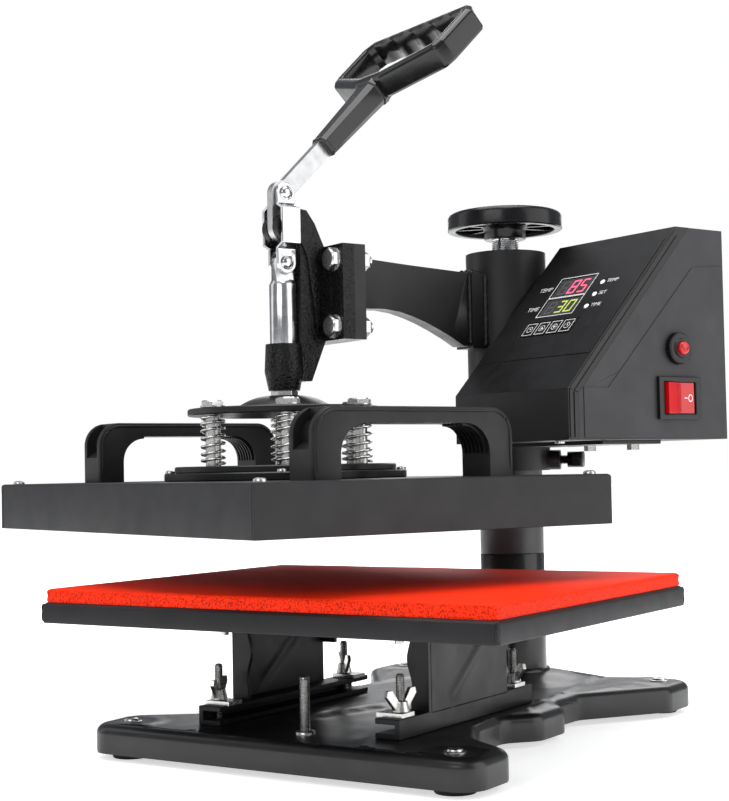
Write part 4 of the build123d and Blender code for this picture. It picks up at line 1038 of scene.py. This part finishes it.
def platen_stack():
    bm = bmesh.new()
    for x, y in guide_points():
        lathe(bm, [(4.6, 160.0), (4.6, 205.0)], (x, y), 24)
        lathe(bm, [(7.6, 204.7), (7.6, 205.4), (7.2, 205.6), (4, 205.6)], (x, y), 28)
        turn = math.radians(17 * x)
        rings = []
        for top_z, kind in ((205.6, 0), (208.0, 0), (208.8, 1), (208.8, 2)):
            ring = []
            for k in range(24):
                a = 2 * math.pi * k / 24
                r = (flat_radius(a, 6.6), 6.2, 5.6)[kind]
                ring.append(bm.verts.new((x + r * math.cos(a + turn), y + r * math.sin(a + turn), top_z)))
            rings.append(ring)
        walls(bm, rings, rings[-1])
    piece("guide_bolt_set", bm, PLATEN, "platen", "zinc", smooth=28, stands_for=("guide_bolts",))

    bm = bmesh.new()
    wire, coil_radius = 0.85, 6.9
    for x, y in guide_points():
        rings = []
        turns, per_turn = 7.0, 30
        total = int(turns * per_turn)
        for i in range(total + 1):
            u = i / total
            a = 2 * math.pi * turns * u + x
            eased = u - 0.035 * math.sin(2 * math.pi * u)
            z = 169.75 + 29.3 * eased
            centre = Vector((x + coil_radius * math.cos(a), y + coil_radius * math.sin(a), z))
            out = Vector((math.cos(a), math.sin(a), 0))
            up = Vector((0, 0, 1))
            rings.append(circle(bm, 10, lambda c, s: centre + out * wire * c + up * wire * s))
        walls(bm, rings, rings[0], rings[-1])
    coils = piece("spring_coils", bm, PLATEN, "platen", "spring_steel", smooth=60, stands_for=("springs",))
    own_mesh(coils)

    bm = bmesh.new()
    lathe(
        bm, [(0, 159.6), (75.4, 159.6), (76.0, 160.2), (76.0, 163.8), (75.3, DISC_TOP), (0, DISC_TOP)], (0, 0),
        128
    )
    piece("disc_lower_turned", bm, PLATEN, "platen", "disc_black", smooth=30, stands_for=("disc_lower",))
    bm = bmesh.new()
    lathe(
        bm, [(0, DISC_TOP), (69.0, DISC_TOP), (69.5, 165.0), (69.5, 167.8), (68.8, 168.5), (0, 168.5)], (0, 0),
        128
    )
    piece("disc_upper_turned", bm, PLATEN, "platen", "disc_black", smooth=30, stands_for=("disc_upper",))

    # sheet cover: folded sides meeting in an open seam at each corner
    half, deep, low, top = 164.5, 122.2, COVER_LOW, COVER_TOP
    bm = bmesh.new()
    rings = []
    for shrink, z in (
        (1.4, low), (0.15, low), (0.0, low + 0.3), (0.0, top - 1.6), (0.45, top - 0.5), (1.6, top)
    ):
        ring = []
        for sx, sy in ((-1, -1), (1, -1), (1, 1), (-1, 1)):
            ring.append(bm.verts.new((sx * (half - shrink), sy * (deep - shrink), z)))
        rings.append(ring)
    walls(bm, rings, rings[-1])
    inner = [
        bm.verts.new((sx * (half - 1.5), sy * (deep - 1.5), top - 1.5)) for sx,
        sy in ((-1, -1), (1, -1), (1, 1), (-1, 1))
    ]
    for k in range(4):
        n = (k + 1) % 4
        bm.faces.new((rings[0][k], inner[k], inner[n], rings[0][n]))
    bm.faces.new(inner)
    piece(
        "cover_folded", bm, PLATEN, "platen", "cover_sheet", smooth=24, bevel=0.5, steps=3,
        stands_for=("platen_cover",)
    )
    # the open corner seams: thin strips and rods of painted shade
    bm = bmesh.new()
    for sx in (-1, 1):
        for sy in (-1, 1):
            x, y = sx * (half - 2.6), sy * (deep + 0.05)
            brick(bm, x - 0.22, x + 0.22, y - 0.1, y + 0.08, low + 0.4, top - 1.2)
            lathe(
                bm, [(0, low + 1), (0.5, low + 1), (0.5, top - 2), (0, top - 2)],
                (sx * (half - 0.45), sy * (deep - 0.45)), 8
            )
    piece("cover_corner_seams", bm, PLATEN, "platen", "cover_sheet", material=SEAM_SHADE)
    refine("heating_platen", 0.8)

    bm = bmesh.new()
    # dark holds the crosses of painted shade in the screw recesses
    dark = bmesh.new()
    for sx in (-1, 1):
        for sy in (-1, 1):
            pan_head(bm, sx * 155.5, sy * 113.2, COVER_TOP, 3.7, 2.1)
            cross_recess(dark, sx * 155.5, sy * 113.2, COVER_TOP + 2.1, 1.9)
    for k in range(4):
        a = math.radians(-34 + 90 * k)
        x, y = 72.7 * math.cos(a), 72.7 * math.sin(a)
        pan_head(bm, x, y, DISC_TOP, 3.0, 1.9)
        cross_recess(dark, x, y, DISC_TOP + 1.9, 1.5)
    piece("platen_screw_heads", bm, PLATEN, "platen", "zinc", stands_for=("platen_screws",))
    piece("platen_screw_recesses", dark, PLATEN, "platen", "zinc", material=SEAM_SHADE)


def bow_centreline():
    """The bow's outer skin from front foot to rear foot, as (y, z) and its outward normal."""
    z0, top, front, rear, r = COVER_TOP, BOW_TOP, BOW_FRONT, BOW_REAR, 15.0
    points = []

    def put(y, z, ny, nz):
        points.append((y, z, ny, nz))

    for k in range(7):
        put(front, z0 + (top - r - z0) * k / 6, -1, 0)
    for k in range(1, 13):
        a = math.pi / 2 * k / 12
        put(front + r - r * math.cos(a), top - r + r * math.sin(a), -math.cos(a), math.sin(a))
    for k in range(1, 24):
        put(front + r + (rear - r - front - r) * k / 24, top, 0, 1)
    for k in range(0, 13):
        a = math.pi / 2 * k / 12
        put(rear - r + r * math.sin(a), top - r + r * math.cos(a), math.sin(a), math.cos(a))
    for k in range(5, -1, -1):
        put(rear, z0 + (top - r - z0) * k / 6, 1, 0)
    return points


def bow_handle(side):
    """A moulded bow: rounded rims, a deep slot down each end face and ribs inside the arch."""
    sx = 1 if side == "right" else -1
    cx = 130.0
    half = 12.75
    skin = bow_centreline()
    bm = bmesh.new()

    # inner arch line, matched to the outer one point by point
    z0, top = COVER_TOP, BOW_TOP
    arch_r, leg, bar = 17.0, 17.5, 9.3
    fy, ry = BOW_FRONT + leg, BOW_REAR - leg
    inner = []
    for y, z, ny, nz in skin:
        if nz == 0 and ny < 0:
            inner.append((fy, min(z, top - bar - arch_r)))
        elif nz == 0 and ny > 0:
            inner.append((ry, min(z, top - bar - arch_r)))
        elif nz == 1:
            yy = max(fy + arch_r, min(ry - arch_r, y))
            inner.append((yy, top - bar))
        else:
            a = math.atan2(nz, abs(ny))
            if ny < 0:
                inner.append((fy + arch_r - arch_r * math.cos(a), top - bar - arch_r + arch_r * math.sin(a)))
            else:
                inner.append((ry - arch_r + arch_r * math.cos(a), top - bar - arch_r + arch_r * math.sin(a)))

    def slot_depth(index):
        y, z, ny, nz = skin[index]
        if z < z0 + 17 or nz > 0.93:
            return 0.0
        return 6.0

    # stations across the width: rim, wall, slot edge, slot floor
    section = [(-half, 1.6), (-half + 0.5, 0.5), (-half + 1.7, 0.0), (-8.6, 0.0), (-7.7, 0.35)]
    section += [(-7.5, "deep"), (7.5, "deep")]
    section += [(7.7, 0.35), (8.6, 0.0), (half - 1.7, 0.0), (half - 0.5, 0.5), (half, 1.6)]
    rows = []
    for i, (y, z, ny, nz) in enumerate(skin):
        row = []
        for across, drop in section:
            if drop == "deep":
                drop = slot_depth(i)
            elif drop == 0.35 and slot_depth(i) == 0:
                drop = 0.0
            row.append(bm.verts.new((sx * (cx + across), y - ny * drop, z - nz * drop)))
        rows.append(row)
    under = []
    for (y, z), (oy, oz, ny, nz) in zip(inner, skin):
        under.append(
            [bm.verts.new((sx * (cx + across), y, z)) for across in (-half, -half + 1.0, half - 1.0, half)]
        )
    width = len(section)
    for i in range(len(skin) - 1):
        for k in range(width - 1):
            bm.faces.new((rows[i][k], rows[i + 1][k], rows[i + 1][k + 1], rows[i][k + 1]))
        for k in range(3):
            bm.faces.new((under[i][k], under[i][k + 1], under[i + 1][k + 1], under[i + 1][k]))
        bm.faces.new((rows[i][0], under[i][0], under[i + 1][0], rows[i + 1][0]))
        bm.faces.new((rows[i][-1], rows[i + 1][-1], under[i + 1][-1], under[i][-1]))
    for i in (0, len(skin) - 1):
        bm.faces.new(rows[i] + under[i][::-1])
    bmesh.ops.remove_doubles(bm, verts=bm.verts, dist=0.01)
    # raised ribs inside each arch corner
    for end in (0, 1):
        for across in (-9.0, -5.4, -1.8, 1.8, 5.4, 9.0):
            low, high = [], []
            for k in range(11):
                a = math.pi / 2 * k / 10
                if end == 0:
                    y, z = fy + arch_r - arch_r * math.cos(a), top - bar - arch_r + arch_r * math.sin(a)
                    iy, iz = y + 1.3 * math.cos(a), z - 1.3 * math.sin(a)
                else:
                    y, z = ry - arch_r + arch_r * math.cos(a), top - bar - arch_r + arch_r * math.sin(a)
                    iy, iz = y - 1.3 * math.cos(a), z - 1.3 * math.sin(a)
                low.append((y, z))
                high.append((iy, iz))
            profile = low + high[::-1]
            prism(bm, *[[(sx * (cx + across + x), y, z) for y, z in profile] for x in (-0.55, 0.55)])
    piece(
        "bow_" + side + "_moulded", bm, PLATEN, "platen", "bow_plastic", smooth=35,
        stands_for=("bow_handle_" + side,)
    )
    # a rib raised round the outer side face
    bm = bmesh.new()
    for across in (-half, half):
        points = []
        for y, z, ny, nz in skin:
            points.append((sx * (cx + across * 0.985), y - ny * 2.3, z - nz * 2.3))
        weld_run(bm, points[1:-1], 0.75, 0.0)
    piece(
        "bow_" + side + "_rims", bm, PLATEN, "platen", "bow_plastic", material=MATERIALS["bow_plastic"],
        smooth=60
    )


# ---------------------------------------------------------------- control box
def flat_text(words, size, x, s, lift):
    """A word as a flat mesh on the sloping panel, its middle left at x, s down the slope."""
    curve = bpy.data.curves.new("word", "FONT")
    curve.body = words
    curve.size = size
    curve.align_y = "CENTER"
    holder = bpy.data.objects.new("word", curve)
    bpy.context.scene.collection.objects.link(holder)
    bpy.context.view_layer.update()
    mesh = bpy.data.meshes.new_from_object(holder.evaluated_get(bpy.context.evaluated_depsgraph_get()))
    bpy.data.objects.remove(holder)
    bm = bmesh.new()
    bm.from_mesh(mesh)
    bm.transform(Matrix.Translation((x, -s, lift)))
    bpy.data.meshes.remove(mesh)
    return bm


def add_all(target, source):
    mesh = bpy.data.meshes.new("part")
    source.to_mesh(mesh)
    source.free()
    target.from_mesh(mesh)
    bpy.data.meshes.remove(mesh)


def frame_line(bm, x0, x1, s0, s1, wide, lift):
    """A thin printed outline on the panel."""
    for a0, a1, b0, b1 in (
        (x0, x1, s0, s0 + wide), (x0, x1, s1 - wide, s1), (x0, x0 + wide, s0 + wide, s1 - wide),
        (x1 - wide, x1, s0 + wide, s1 - wide)
    ):
        brick(bm, a0, a1, -b1, -b0, lift - 0.08, lift)


SEGMENTS = {"8": "abcdefg", "5": "afgcd", "3": "abgcd", "0": "abcdef"}


def digit(bm, kinds, x, s, wide, tall, lift):
    """A seven-segment figure; x, s is its upper left corner."""
    t = wide * 0.17
    slant = 0.10

    def bar(x0, x1, y0, y1):
        corners = [(x0, y0), (x1, y0), (x1, y1), (x0, y1)]
        slab(bm, [(x + a + slant * (tall + b), -s + b) for a, b in corners], lift - 0.08, lift)

    g = 0.12
    if "a" in kinds:
        bar(t, wide - t, -t, 0)
    if "g" in kinds:
        bar(t, wide - t, -tall / 2 - t / 2, -tall / 2 + t / 2)
    if "d" in kinds:
        bar(t, wide - t, -tall, -tall + t)
    for name, left, upper in (("f", True, True), ("b", False, True), ("e", True, False), ("c", False, False)):
        if name in kinds:
            x0 = 0 if left else wide - t
            y1 = -g if upper else -tall / 2 - g
            y0 = -tall / 2 + g if upper else -tall + g
            bar(x0, x0 + t, y0, y1)


def ring_mark(bm, x, s, radius, wide, lift):
    walls(
        bm, [circle(bm, 28, lambda c, sine: (x + r * c, -s + r * sine, lift)) for r in (radius, radius - wide)]
    )


def membrane():
    """The film on the slope, cut out for windows, lamps and keys."""
    lift = 0.45
    holes = [(59.2, 93.3, 36.2, 54.3), (59.2, 93.3, 55.5, 72.1), (54.9, 104.3, 77.2, 90.8)]
    for s in (45.0, 56.0, 67.0):
        holes.append((100.9, 105.5, s - 2.3, s + 2.3))
    xs = sorted({32.4, 136.4} | {v for h in holes for v in h[:2]})
    ss = sorted({10.6, 111.6} | {v for h in holes for v in h[2:]})
    bm = bmesh.new()
    cells = {}

    def is_hole(x, s):
        return any(a < x < b and c < s < d for a, b, c, d in holes)

    top = {(i, j): bm.verts.new((x, -s, lift)) for i, x in enumerate(xs) for j, s in enumerate(ss)}
    low = {(i, j): bm.verts.new((x, -s, -0.02)) for i, x in enumerate(xs) for j, s in enumerate(ss)}
    for i in range(len(xs) - 1):
        for j in range(len(ss) - 1):
            cells[(i, j)] = not is_hole((xs[i] + xs[i + 1]) / 2, (ss[j] + ss[j + 1]) / 2)
            if cells[(i, j)]:
                bm.faces.new((top[(i, j)], top[(i, j + 1)], top[(i + 1, j + 1)], top[(i + 1, j)]))
    for (i, j), solid in cells.items():
        if not solid:
            continue
        for di, dj, a, b in (
            (-1, 0, (0, 0), (0, 1)), (1, 0, (1, 0), (1, 1)), (0, -1, (0, 0), (1, 0)), (0, 1, (0, 1), (1, 1))
        ):
            if not cells.get((i + di, j + dj), False):
                p, q = (i + a[0], j + a[1]), (i + b[0], j + b[1])
                bm.faces.new((top[p], top[q], low[q], low[p]))
    for v in [v for v in bm.verts if not v.link_faces]:
        bm.verts.remove(v)
    piece("panel_film", bm, SLOPE, "head", "shell_plastic", material=FILM, smooth=20, bevel=0.22)


FILM = plastic("panel film", (0.0060, 0.0060, 0.0065), 0.40, grain=3200, depth=0.00002, specular=0.3)


def control_box():
    refine("box_front", 1.0, steps=3, smooth=30)
    refine("box_rear", 0.35, steps=3, smooth=30)
    membrane()
    refine("display_windows", 0.3)
    # black shell's edge bands beside the side cover
    bm = bmesh.new()
    a, b = Vector((BOX_Y[0], BOX_KNEE)), Vector((RIDGE_Y, BOX_TOP))
    t = (b - a).normalized()
    inward = Vector((t.y, -t.x))
    for start, end in ((0.9, 3.4), (4.6, 7.6)):
        sloped = [a + inward * start + t * (start * 0.45), b + inward * start - t * (start * 0.45 + 1.5),
                  b + inward * end - t * (start * 0.45 + 1.5), a + inward * end + t * (end * 0.45)]
        upright = [Vector((a.x + start, BOX_BOTTOM + 1.5)), Vector((a.x + end, BOX_BOTTOM + 1.5)),
                   a + Vector((end, end * -0.45)), a + Vector((start, start * -0.45))]
        for outline in (sloped, upright):
            prism(bm, *[[(x, p.x, p.y) for p in outline] for x in (BOX_X[1] - 0.2, BOX_X[1] + 0.6)])
    piece("shell_edge_bands", bm, HEAD, "head", "shell_plastic", smooth=25, bevel=0.3)
    # the side cover's raised lower field and its cover seam
    bm = bmesh.new()
    for x0, x1 in ((BOX_X[1] - 0.1, BOX_X[1] + 0.55), (BOX_X[0] - 0.55, BOX_X[0] + 0.1)):
        outline = [(65.2, 292.4), (38, 290), (-38, 212), (-58.5, 212), (-58.5, 181.2), (65.2, 181.2)]
        prism(bm, *[[(x, y, z) for y, z in outline] for x in (x0, x1)])
    piece("side_cover_field", bm, HEAD, "head", "cover_grey", smooth=25, bevel=0.25)
    # back panel louvres (strips of painted shade in their slots), screws and cover lip
    bm = bmesh.new()
    for k in range(8):
        z = 232 + 8.5 * k
        brick(bm, 52, 116, 66.9, 67.02, z, z + 3.0)
    piece("back_louvres", bm, HEAD, "head", "cover_grey", material=SEAM_SHADE)
    bm = bmesh.new()
    for k in range(8):
        z = 232 + 8.5 * k
        outline = [(51, z - 0.6), (117, z - 0.6), (117, z + 0.6), (51, z + 0.6)]
        prism(
            bm, [(x, 66.9, zz) for x, zz in outline], [(x, 67.9 if zz > z else 67.0, zz) for x, zz in outline]
        )
    piece("back_louvre_lips", bm, HEAD, "head", "cover_grey", smooth=25, bevel=0.15)
    bm = bmesh.new()
    for x, z in ((37.5, 187), (132, 187), (37.5, 308), (132, 308)):
        rings = []
        for r, out in ((3.2, 0.0), (3.2, 0.6), (2.6, 1.4), (1.6, 1.8)):
            rings.append(circle(bm, 24, lambda c, s: (x + r * c, BOX_Y[1] + out, z + r * s)))
        walls(bm, rings, rings[-1])
    piece("back_screws", bm, HEAD, "head", "zinc")
    # printing
    bm = bmesh.new()
    lift = 0.55
    for s0, s1 in ((36.5, 54.0), (55.8, 71.8)):
        frame_line(bm, 58.6, 93.9, s0 - 0.8, s1 + 0.8, 0.5, lift)
    for words, x, s in (("TEMP", 43.4, 45.4), ("TIME", 44.6, 64.0)):
        add_all(bm, flat_text(words, 5.2, x, s, lift - 0.04))
    for words, s in (("TEMP", 45.0), ("SET", 56.0), ("TIME", 67.0)):
        add_all(bm, flat_text(words, 4.3, 107.6, s, lift - 0.04))
    piece("panel_print", bm, SLOPE, "head", "lamp", material=INK_PAINTED_GLOW, smooth=20)
    # figures in the two windows
    red, green, grey = bmesh.new(), bmesh.new(), bmesh.new()
    for target, kinds, x, s, tall in (
        (grey, "8", 63.0, 38.9, 12.4), (red, "8", 72.2, 38.9, 12.4), (red, "5", 81.4, 38.9, 12.4),
        (grey, "8", 63.0, 58.2, 11.0), (green, "3", 72.2, 58.2, 11.0), (green, "0", 81.4, 58.2, 11.0),
    ):
        digit(target, SEGMENTS[kinds], x, s, 7.0, tall, -0.06)
    piece("figures_temperature", red, SLOPE, "head", "display", material=RED_LIT)
    piece("figures_time", green, SLOPE, "head", "display", material=GREEN_LIT)
    piece("figures_unlit", grey, SLOPE, "head", "display", material=GREY_INK)
    # lamps
    bm = bmesh.new()
    for s in (45.0, 56.0, 67.0):
        lathe(bm, [(1.9, -1.5), (1.9, 0.1), (1.5, 0.6), (0.8, 0.9), (0, 1.0)], (103.2, -s), 24)
    piece("lamp_lenses", bm, SLOPE, "head", "lamp", stands_for=("led_lamps",))
    # keys
    for k, body in enumerate(("key_a", "key_b", "key_c", "key_d")):
        node = "key_%d" % (k + 1)
        refine(node, 0.5, steps=3)
        x = 61.9 + 11.9 * k
        marks = bmesh.new()
        frame_line(marks, x - 4.7, x + 4.7, 84 - 5.3, 84 + 5.3, 0.42, 0.76)
        ring_mark(marks, x, 84, 2.6, 0.4, 0.76)
        if k in (0, 3):
            brick(marks, x - 0.2, x + 0.2, -84, -84 + 1.8, 0.70, 0.76)
            brick(marks, x - 0.2, x + 1.2, -84.2, -83.8, 0.70, 0.76)
        elif k == 1:
            slab(marks, [(x - 1.3, -84.8), (x + 1.3, -84.8), (x, -82.6)], 0.70, 0.76)
        else:
            slab(marks, [(x - 1.3, -83.2), (x, -85.4), (x + 1.3, -83.2)], 0.70, 0.76)
        piece(node + "_print", marks, SLOPE, body, "lamp", material=INK_PAINTED_GLOW, smooth=20)


def side_controls():
    refine("rocker_bezel", 0.7, steps=3)
    refine("rocker", 0.5, steps=3)
    rocker = HEAD @ Matrix.Translation((138.7, 21.7, 206)) @ Matrix.Rotation(math.radians(-90 + 7), 4, "Z")
    bm = bmesh.new()
    for k in range(5):
        x = -1.2 + 1.4 * k * 0.55
        face = 1.6 + 1.8 * abs(x) / 12.9
        brick(bm, x - 0.16, x + 0.16, face - 0.3, face + 0.16, -9.0, 9.0)
    piece("rocker_grip_lines", bm, rocker, "switch", "rocker_red", smooth=20)
    bm = bmesh.new()
    face = 1.6 + 1.8 * 5.6 / 12.9
    brick(bm, -6.9, -4.3, face - 0.4, face + 0.22, -0.35, 0.35)
    cx = -9.6
    count = 26
    inner, outer = [], []
    for k in range(count):
        a = 2 * math.pi * k / count
        for r, ring in ((1.9, outer), (1.45, inner)):
            x = cx + r * math.cos(a)
            ring.append(bm.verts.new((x, 1.6 + 1.8 * abs(x) / 12.9 + 0.08, r * 1.25 * math.sin(a))))
    band(bm, outer, inner)
    piece("rocker_marks", bm, rocker, "switch", "lamp", material=INK_PAINTED_GLOW, smooth=20)
    place = SIDE @ Matrix.Translation((21.7, 237.4, 0))
    bm = bmesh.new()
    around = 72
    rings = []
    for z, r, ripple in (
        (0, 9.8, 0.35), (4.2, 9.8, 0.35), (5.0, 9.0, 0), (5.0, 6.4, 0), (6.0, 5.9, 0), (6.0, 4.65, 0),
        (3.0, 4.65, 0)
    ):
        ring = []
        for k in range(around):
            a, reach = 2 * math.pi * k / around, r + ripple * math.cos(k * math.pi)
            ring.append(bm.verts.new((reach * math.cos(a), reach * math.sin(a), z)))
        rings.append(ring)
    walls(bm, rings)
    piece("reset_nut_knurled", bm, place, "head", "switch_black", smooth=25, stands_for=("reset_bezel",))
    bm = bmesh.new()
    lathe(bm, [(4.3, -3), (4.3, 6.6), (4.1, 7.6), (3.4, 8.4), (2.4, 8.6), (1.8, 8.1), (0, 7.9)], (0, 0), 48)
    piece("reset_cap", bm, place, "breaker", "rocker_red", smooth=45, stands_for=("reset_button",))
    refine("box_bracket", 0.3)
    refine("box_screws", 0.4)
    place = HEAD @ Matrix.Translation((95, 67, 200)) @ Matrix.Rotation(-math.pi / 2, 4, "X")
    bm = bmesh.new()
    lathe(
        bm,
        [(9, 0), (9, 3.2), (8.4, 4.0), (7.0, 4.0), (7.0, 6.0), (6.9, 9.0), (6.3, 14.6), (5.2, 16.0),
         (3.9, 16.0), (3.6, 15.4), (3.6, -2)],
        (0, 0), 48
    )
    for k in range(12):
        a = 2 * math.pi * k / 12
        c, s = math.cos(a), math.sin(a)
        slab(
            bm,
            [(r * c + w * s, r * s - w * c) for r, w in ((6.4, 0.5), (7.4, 0.5), (7.4, -0.5), (6.4, -0.5))],
            4.6, 12.0
        )
    piece("gland_moulded", bm, place, "head", "gland_plastic", smooth=35, stands_for=("cord_gland",))
    refine("clamp_knob", 1.2, steps=3, smooth=40)


# ---------------------------------------------------------------- studio
def studio():
    scene = bpy.context.scene
    # the standpoint is in front of the press and to its right, a little below its middle
    yaw, pitch, roll = 0.5816206509753146, -0.039283700712210566, -0.019731631749293873
    back = Vector((math.sin(yaw) * math.cos(pitch), -math.cos(yaw) * math.cos(pitch), math.sin(pitch)))
    right = (-back).cross(Vector((0, 0, 1))).normalized()
    up = back.cross(right)
    c, s = math.cos(roll), math.sin(roll)
    right, up = right * c + up * s, up * c - right * s
    camera = bpy.data.objects.new("camera", bpy.data.cameras.new("camera"))
    camera.data.sensor_width = 36.0
    camera.data.lens = 70.26
    camera.data.shift_x = 0.00859
    camera.data.shift_y = 0.01045
    camera.data.clip_start = 0.02
    camera.data.clip_end = 50
    camera.matrix_world = Matrix.Translation((
        0.567355, -0.821332, 0.164335
    )) @ Matrix((right, up, back)).transposed().to_4x4()
    scene.collection.objects.link(camera)
    scene.camera = camera

    bm = bmesh.new()
    size = 12.0
    corners = [bm.verts.new((x * size, y * size, -0.0004)) for x, y in ((-1, -1), (1, -1), (1, 1), (-1, 1))]
    bm.faces.new(corners)
    mesh = bpy.data.meshes.new("floor")
    bm.to_mesh(mesh)
    bm.free()
    floor = bpy.data.objects.new("floor", mesh)
    scene.collection.objects.link(floor)
    ground = Nodes("floor paper", (0.92, 0.92, 0.92), 0.75)
    ground.blend(ground.noise(3.0, 2), (0.915, 0.915, 0.915), (0.93, 0.93, 0.93))
    # painted light: the floor glows, with strength 0.62 near the press rising to 1.0 by 1.2 m away, which
    # lightens its shadow and fades it into the white backdrop
    reach = ground.tree.nodes.new("ShaderNodeVectorMath")
    reach.operation = "LENGTH"
    ground.link(ground.coord.outputs["Object"], reach.inputs[0])
    ground.out.inputs["Emission Color"].default_value = (1, 1, 1, 1)
    ground.link(
        ground.ramp(reach.outputs["Value"], 0.22, 1.2, 0.62, 1.0), ground.out.inputs["Emission Strength"]
    )
    ground.put(specular=0.12)
    mesh.materials.append(ground.mat)

    world = bpy.data.worlds.new("studio")
    scene.world = world
    world.use_nodes = True
    tree = world.node_tree
    sky = tree.nodes["Background"]
    sky.inputs["Color"].default_value = (0.90, 0.93, 1.0, 1)
    sky.inputs["Strength"].default_value = 0.30
    paper = tree.nodes.new("ShaderNodeBackground")
    paper.inputs["Color"].default_value = (1, 1, 1, 1)
    paper.inputs["Strength"].default_value = 1.0
    path = tree.nodes.new("ShaderNodeLightPath")
    mix = tree.nodes.new("ShaderNodeMixShader")
    tree.links.new(path.outputs["Is Camera Ray"], mix.inputs["Fac"])
    tree.links.new(sky.outputs[0], mix.inputs[1])
    tree.links.new(paper.outputs[0], mix.inputs[2])
    tree.links.new(mix.outputs[0], tree.nodes["World Output"].inputs["Surface"])

    def light(name, place, aim, size_x, size_y, power, colour=(1, 1, 1)):
        lamp = bpy.data.lights.new(name, "AREA")
        lamp.shape = "RECTANGLE"
        lamp.size = size_x
        lamp.size_y = size_y
        lamp.energy = power
        lamp.color = colour
        holder = bpy.data.objects.new(name, lamp)
        holder.location = place
        holder.rotation_mode = "QUATERNION"
        holder.rotation_quaternion = (Vector(aim) - Vector(place)).to_track_quat("-Z", "Y")
        scene.collection.objects.link(holder)

    light("overhead", (0.0, -0.1, 1.9), (0, 0, 0.2), 1.6, 1.6, 36)
    light("left_wall", (-1.6, -0.6, 0.9), (0, 0, 0.25), 0.7, 1.4, 3.5)
    light("right_wall", (1.7, 0.4, 0.8), (0, 0, 0.25), 1.7, 1.8, 17)
    light("front_soft", (0.2, -2.0, 1.2), (0, 0, 0.2), 1.4, 0.8, 10)
    light("back_soft", (-0.7, 1.7, 1.0), (0, 0, 0.2), 1.4, 0.9, 10)
    scene.view_settings.view_transform = "Standard"
    scene.view_settings.look = "None"


def build():
    build_base()
    handwheel()
    sleeve()
    arm()
    lever_parts()
    hand_ring()
    straps()
    plunger()
    platen_stack()
    bow_handle("left")
    bow_handle("right")
    control_box()
    side_controls()


for node, holder in frame["nodes"].items():
    holder.data.materials.clear()
    holder.data.materials.append(MATERIALS[SLOT_OF[node]])

studio()
build()
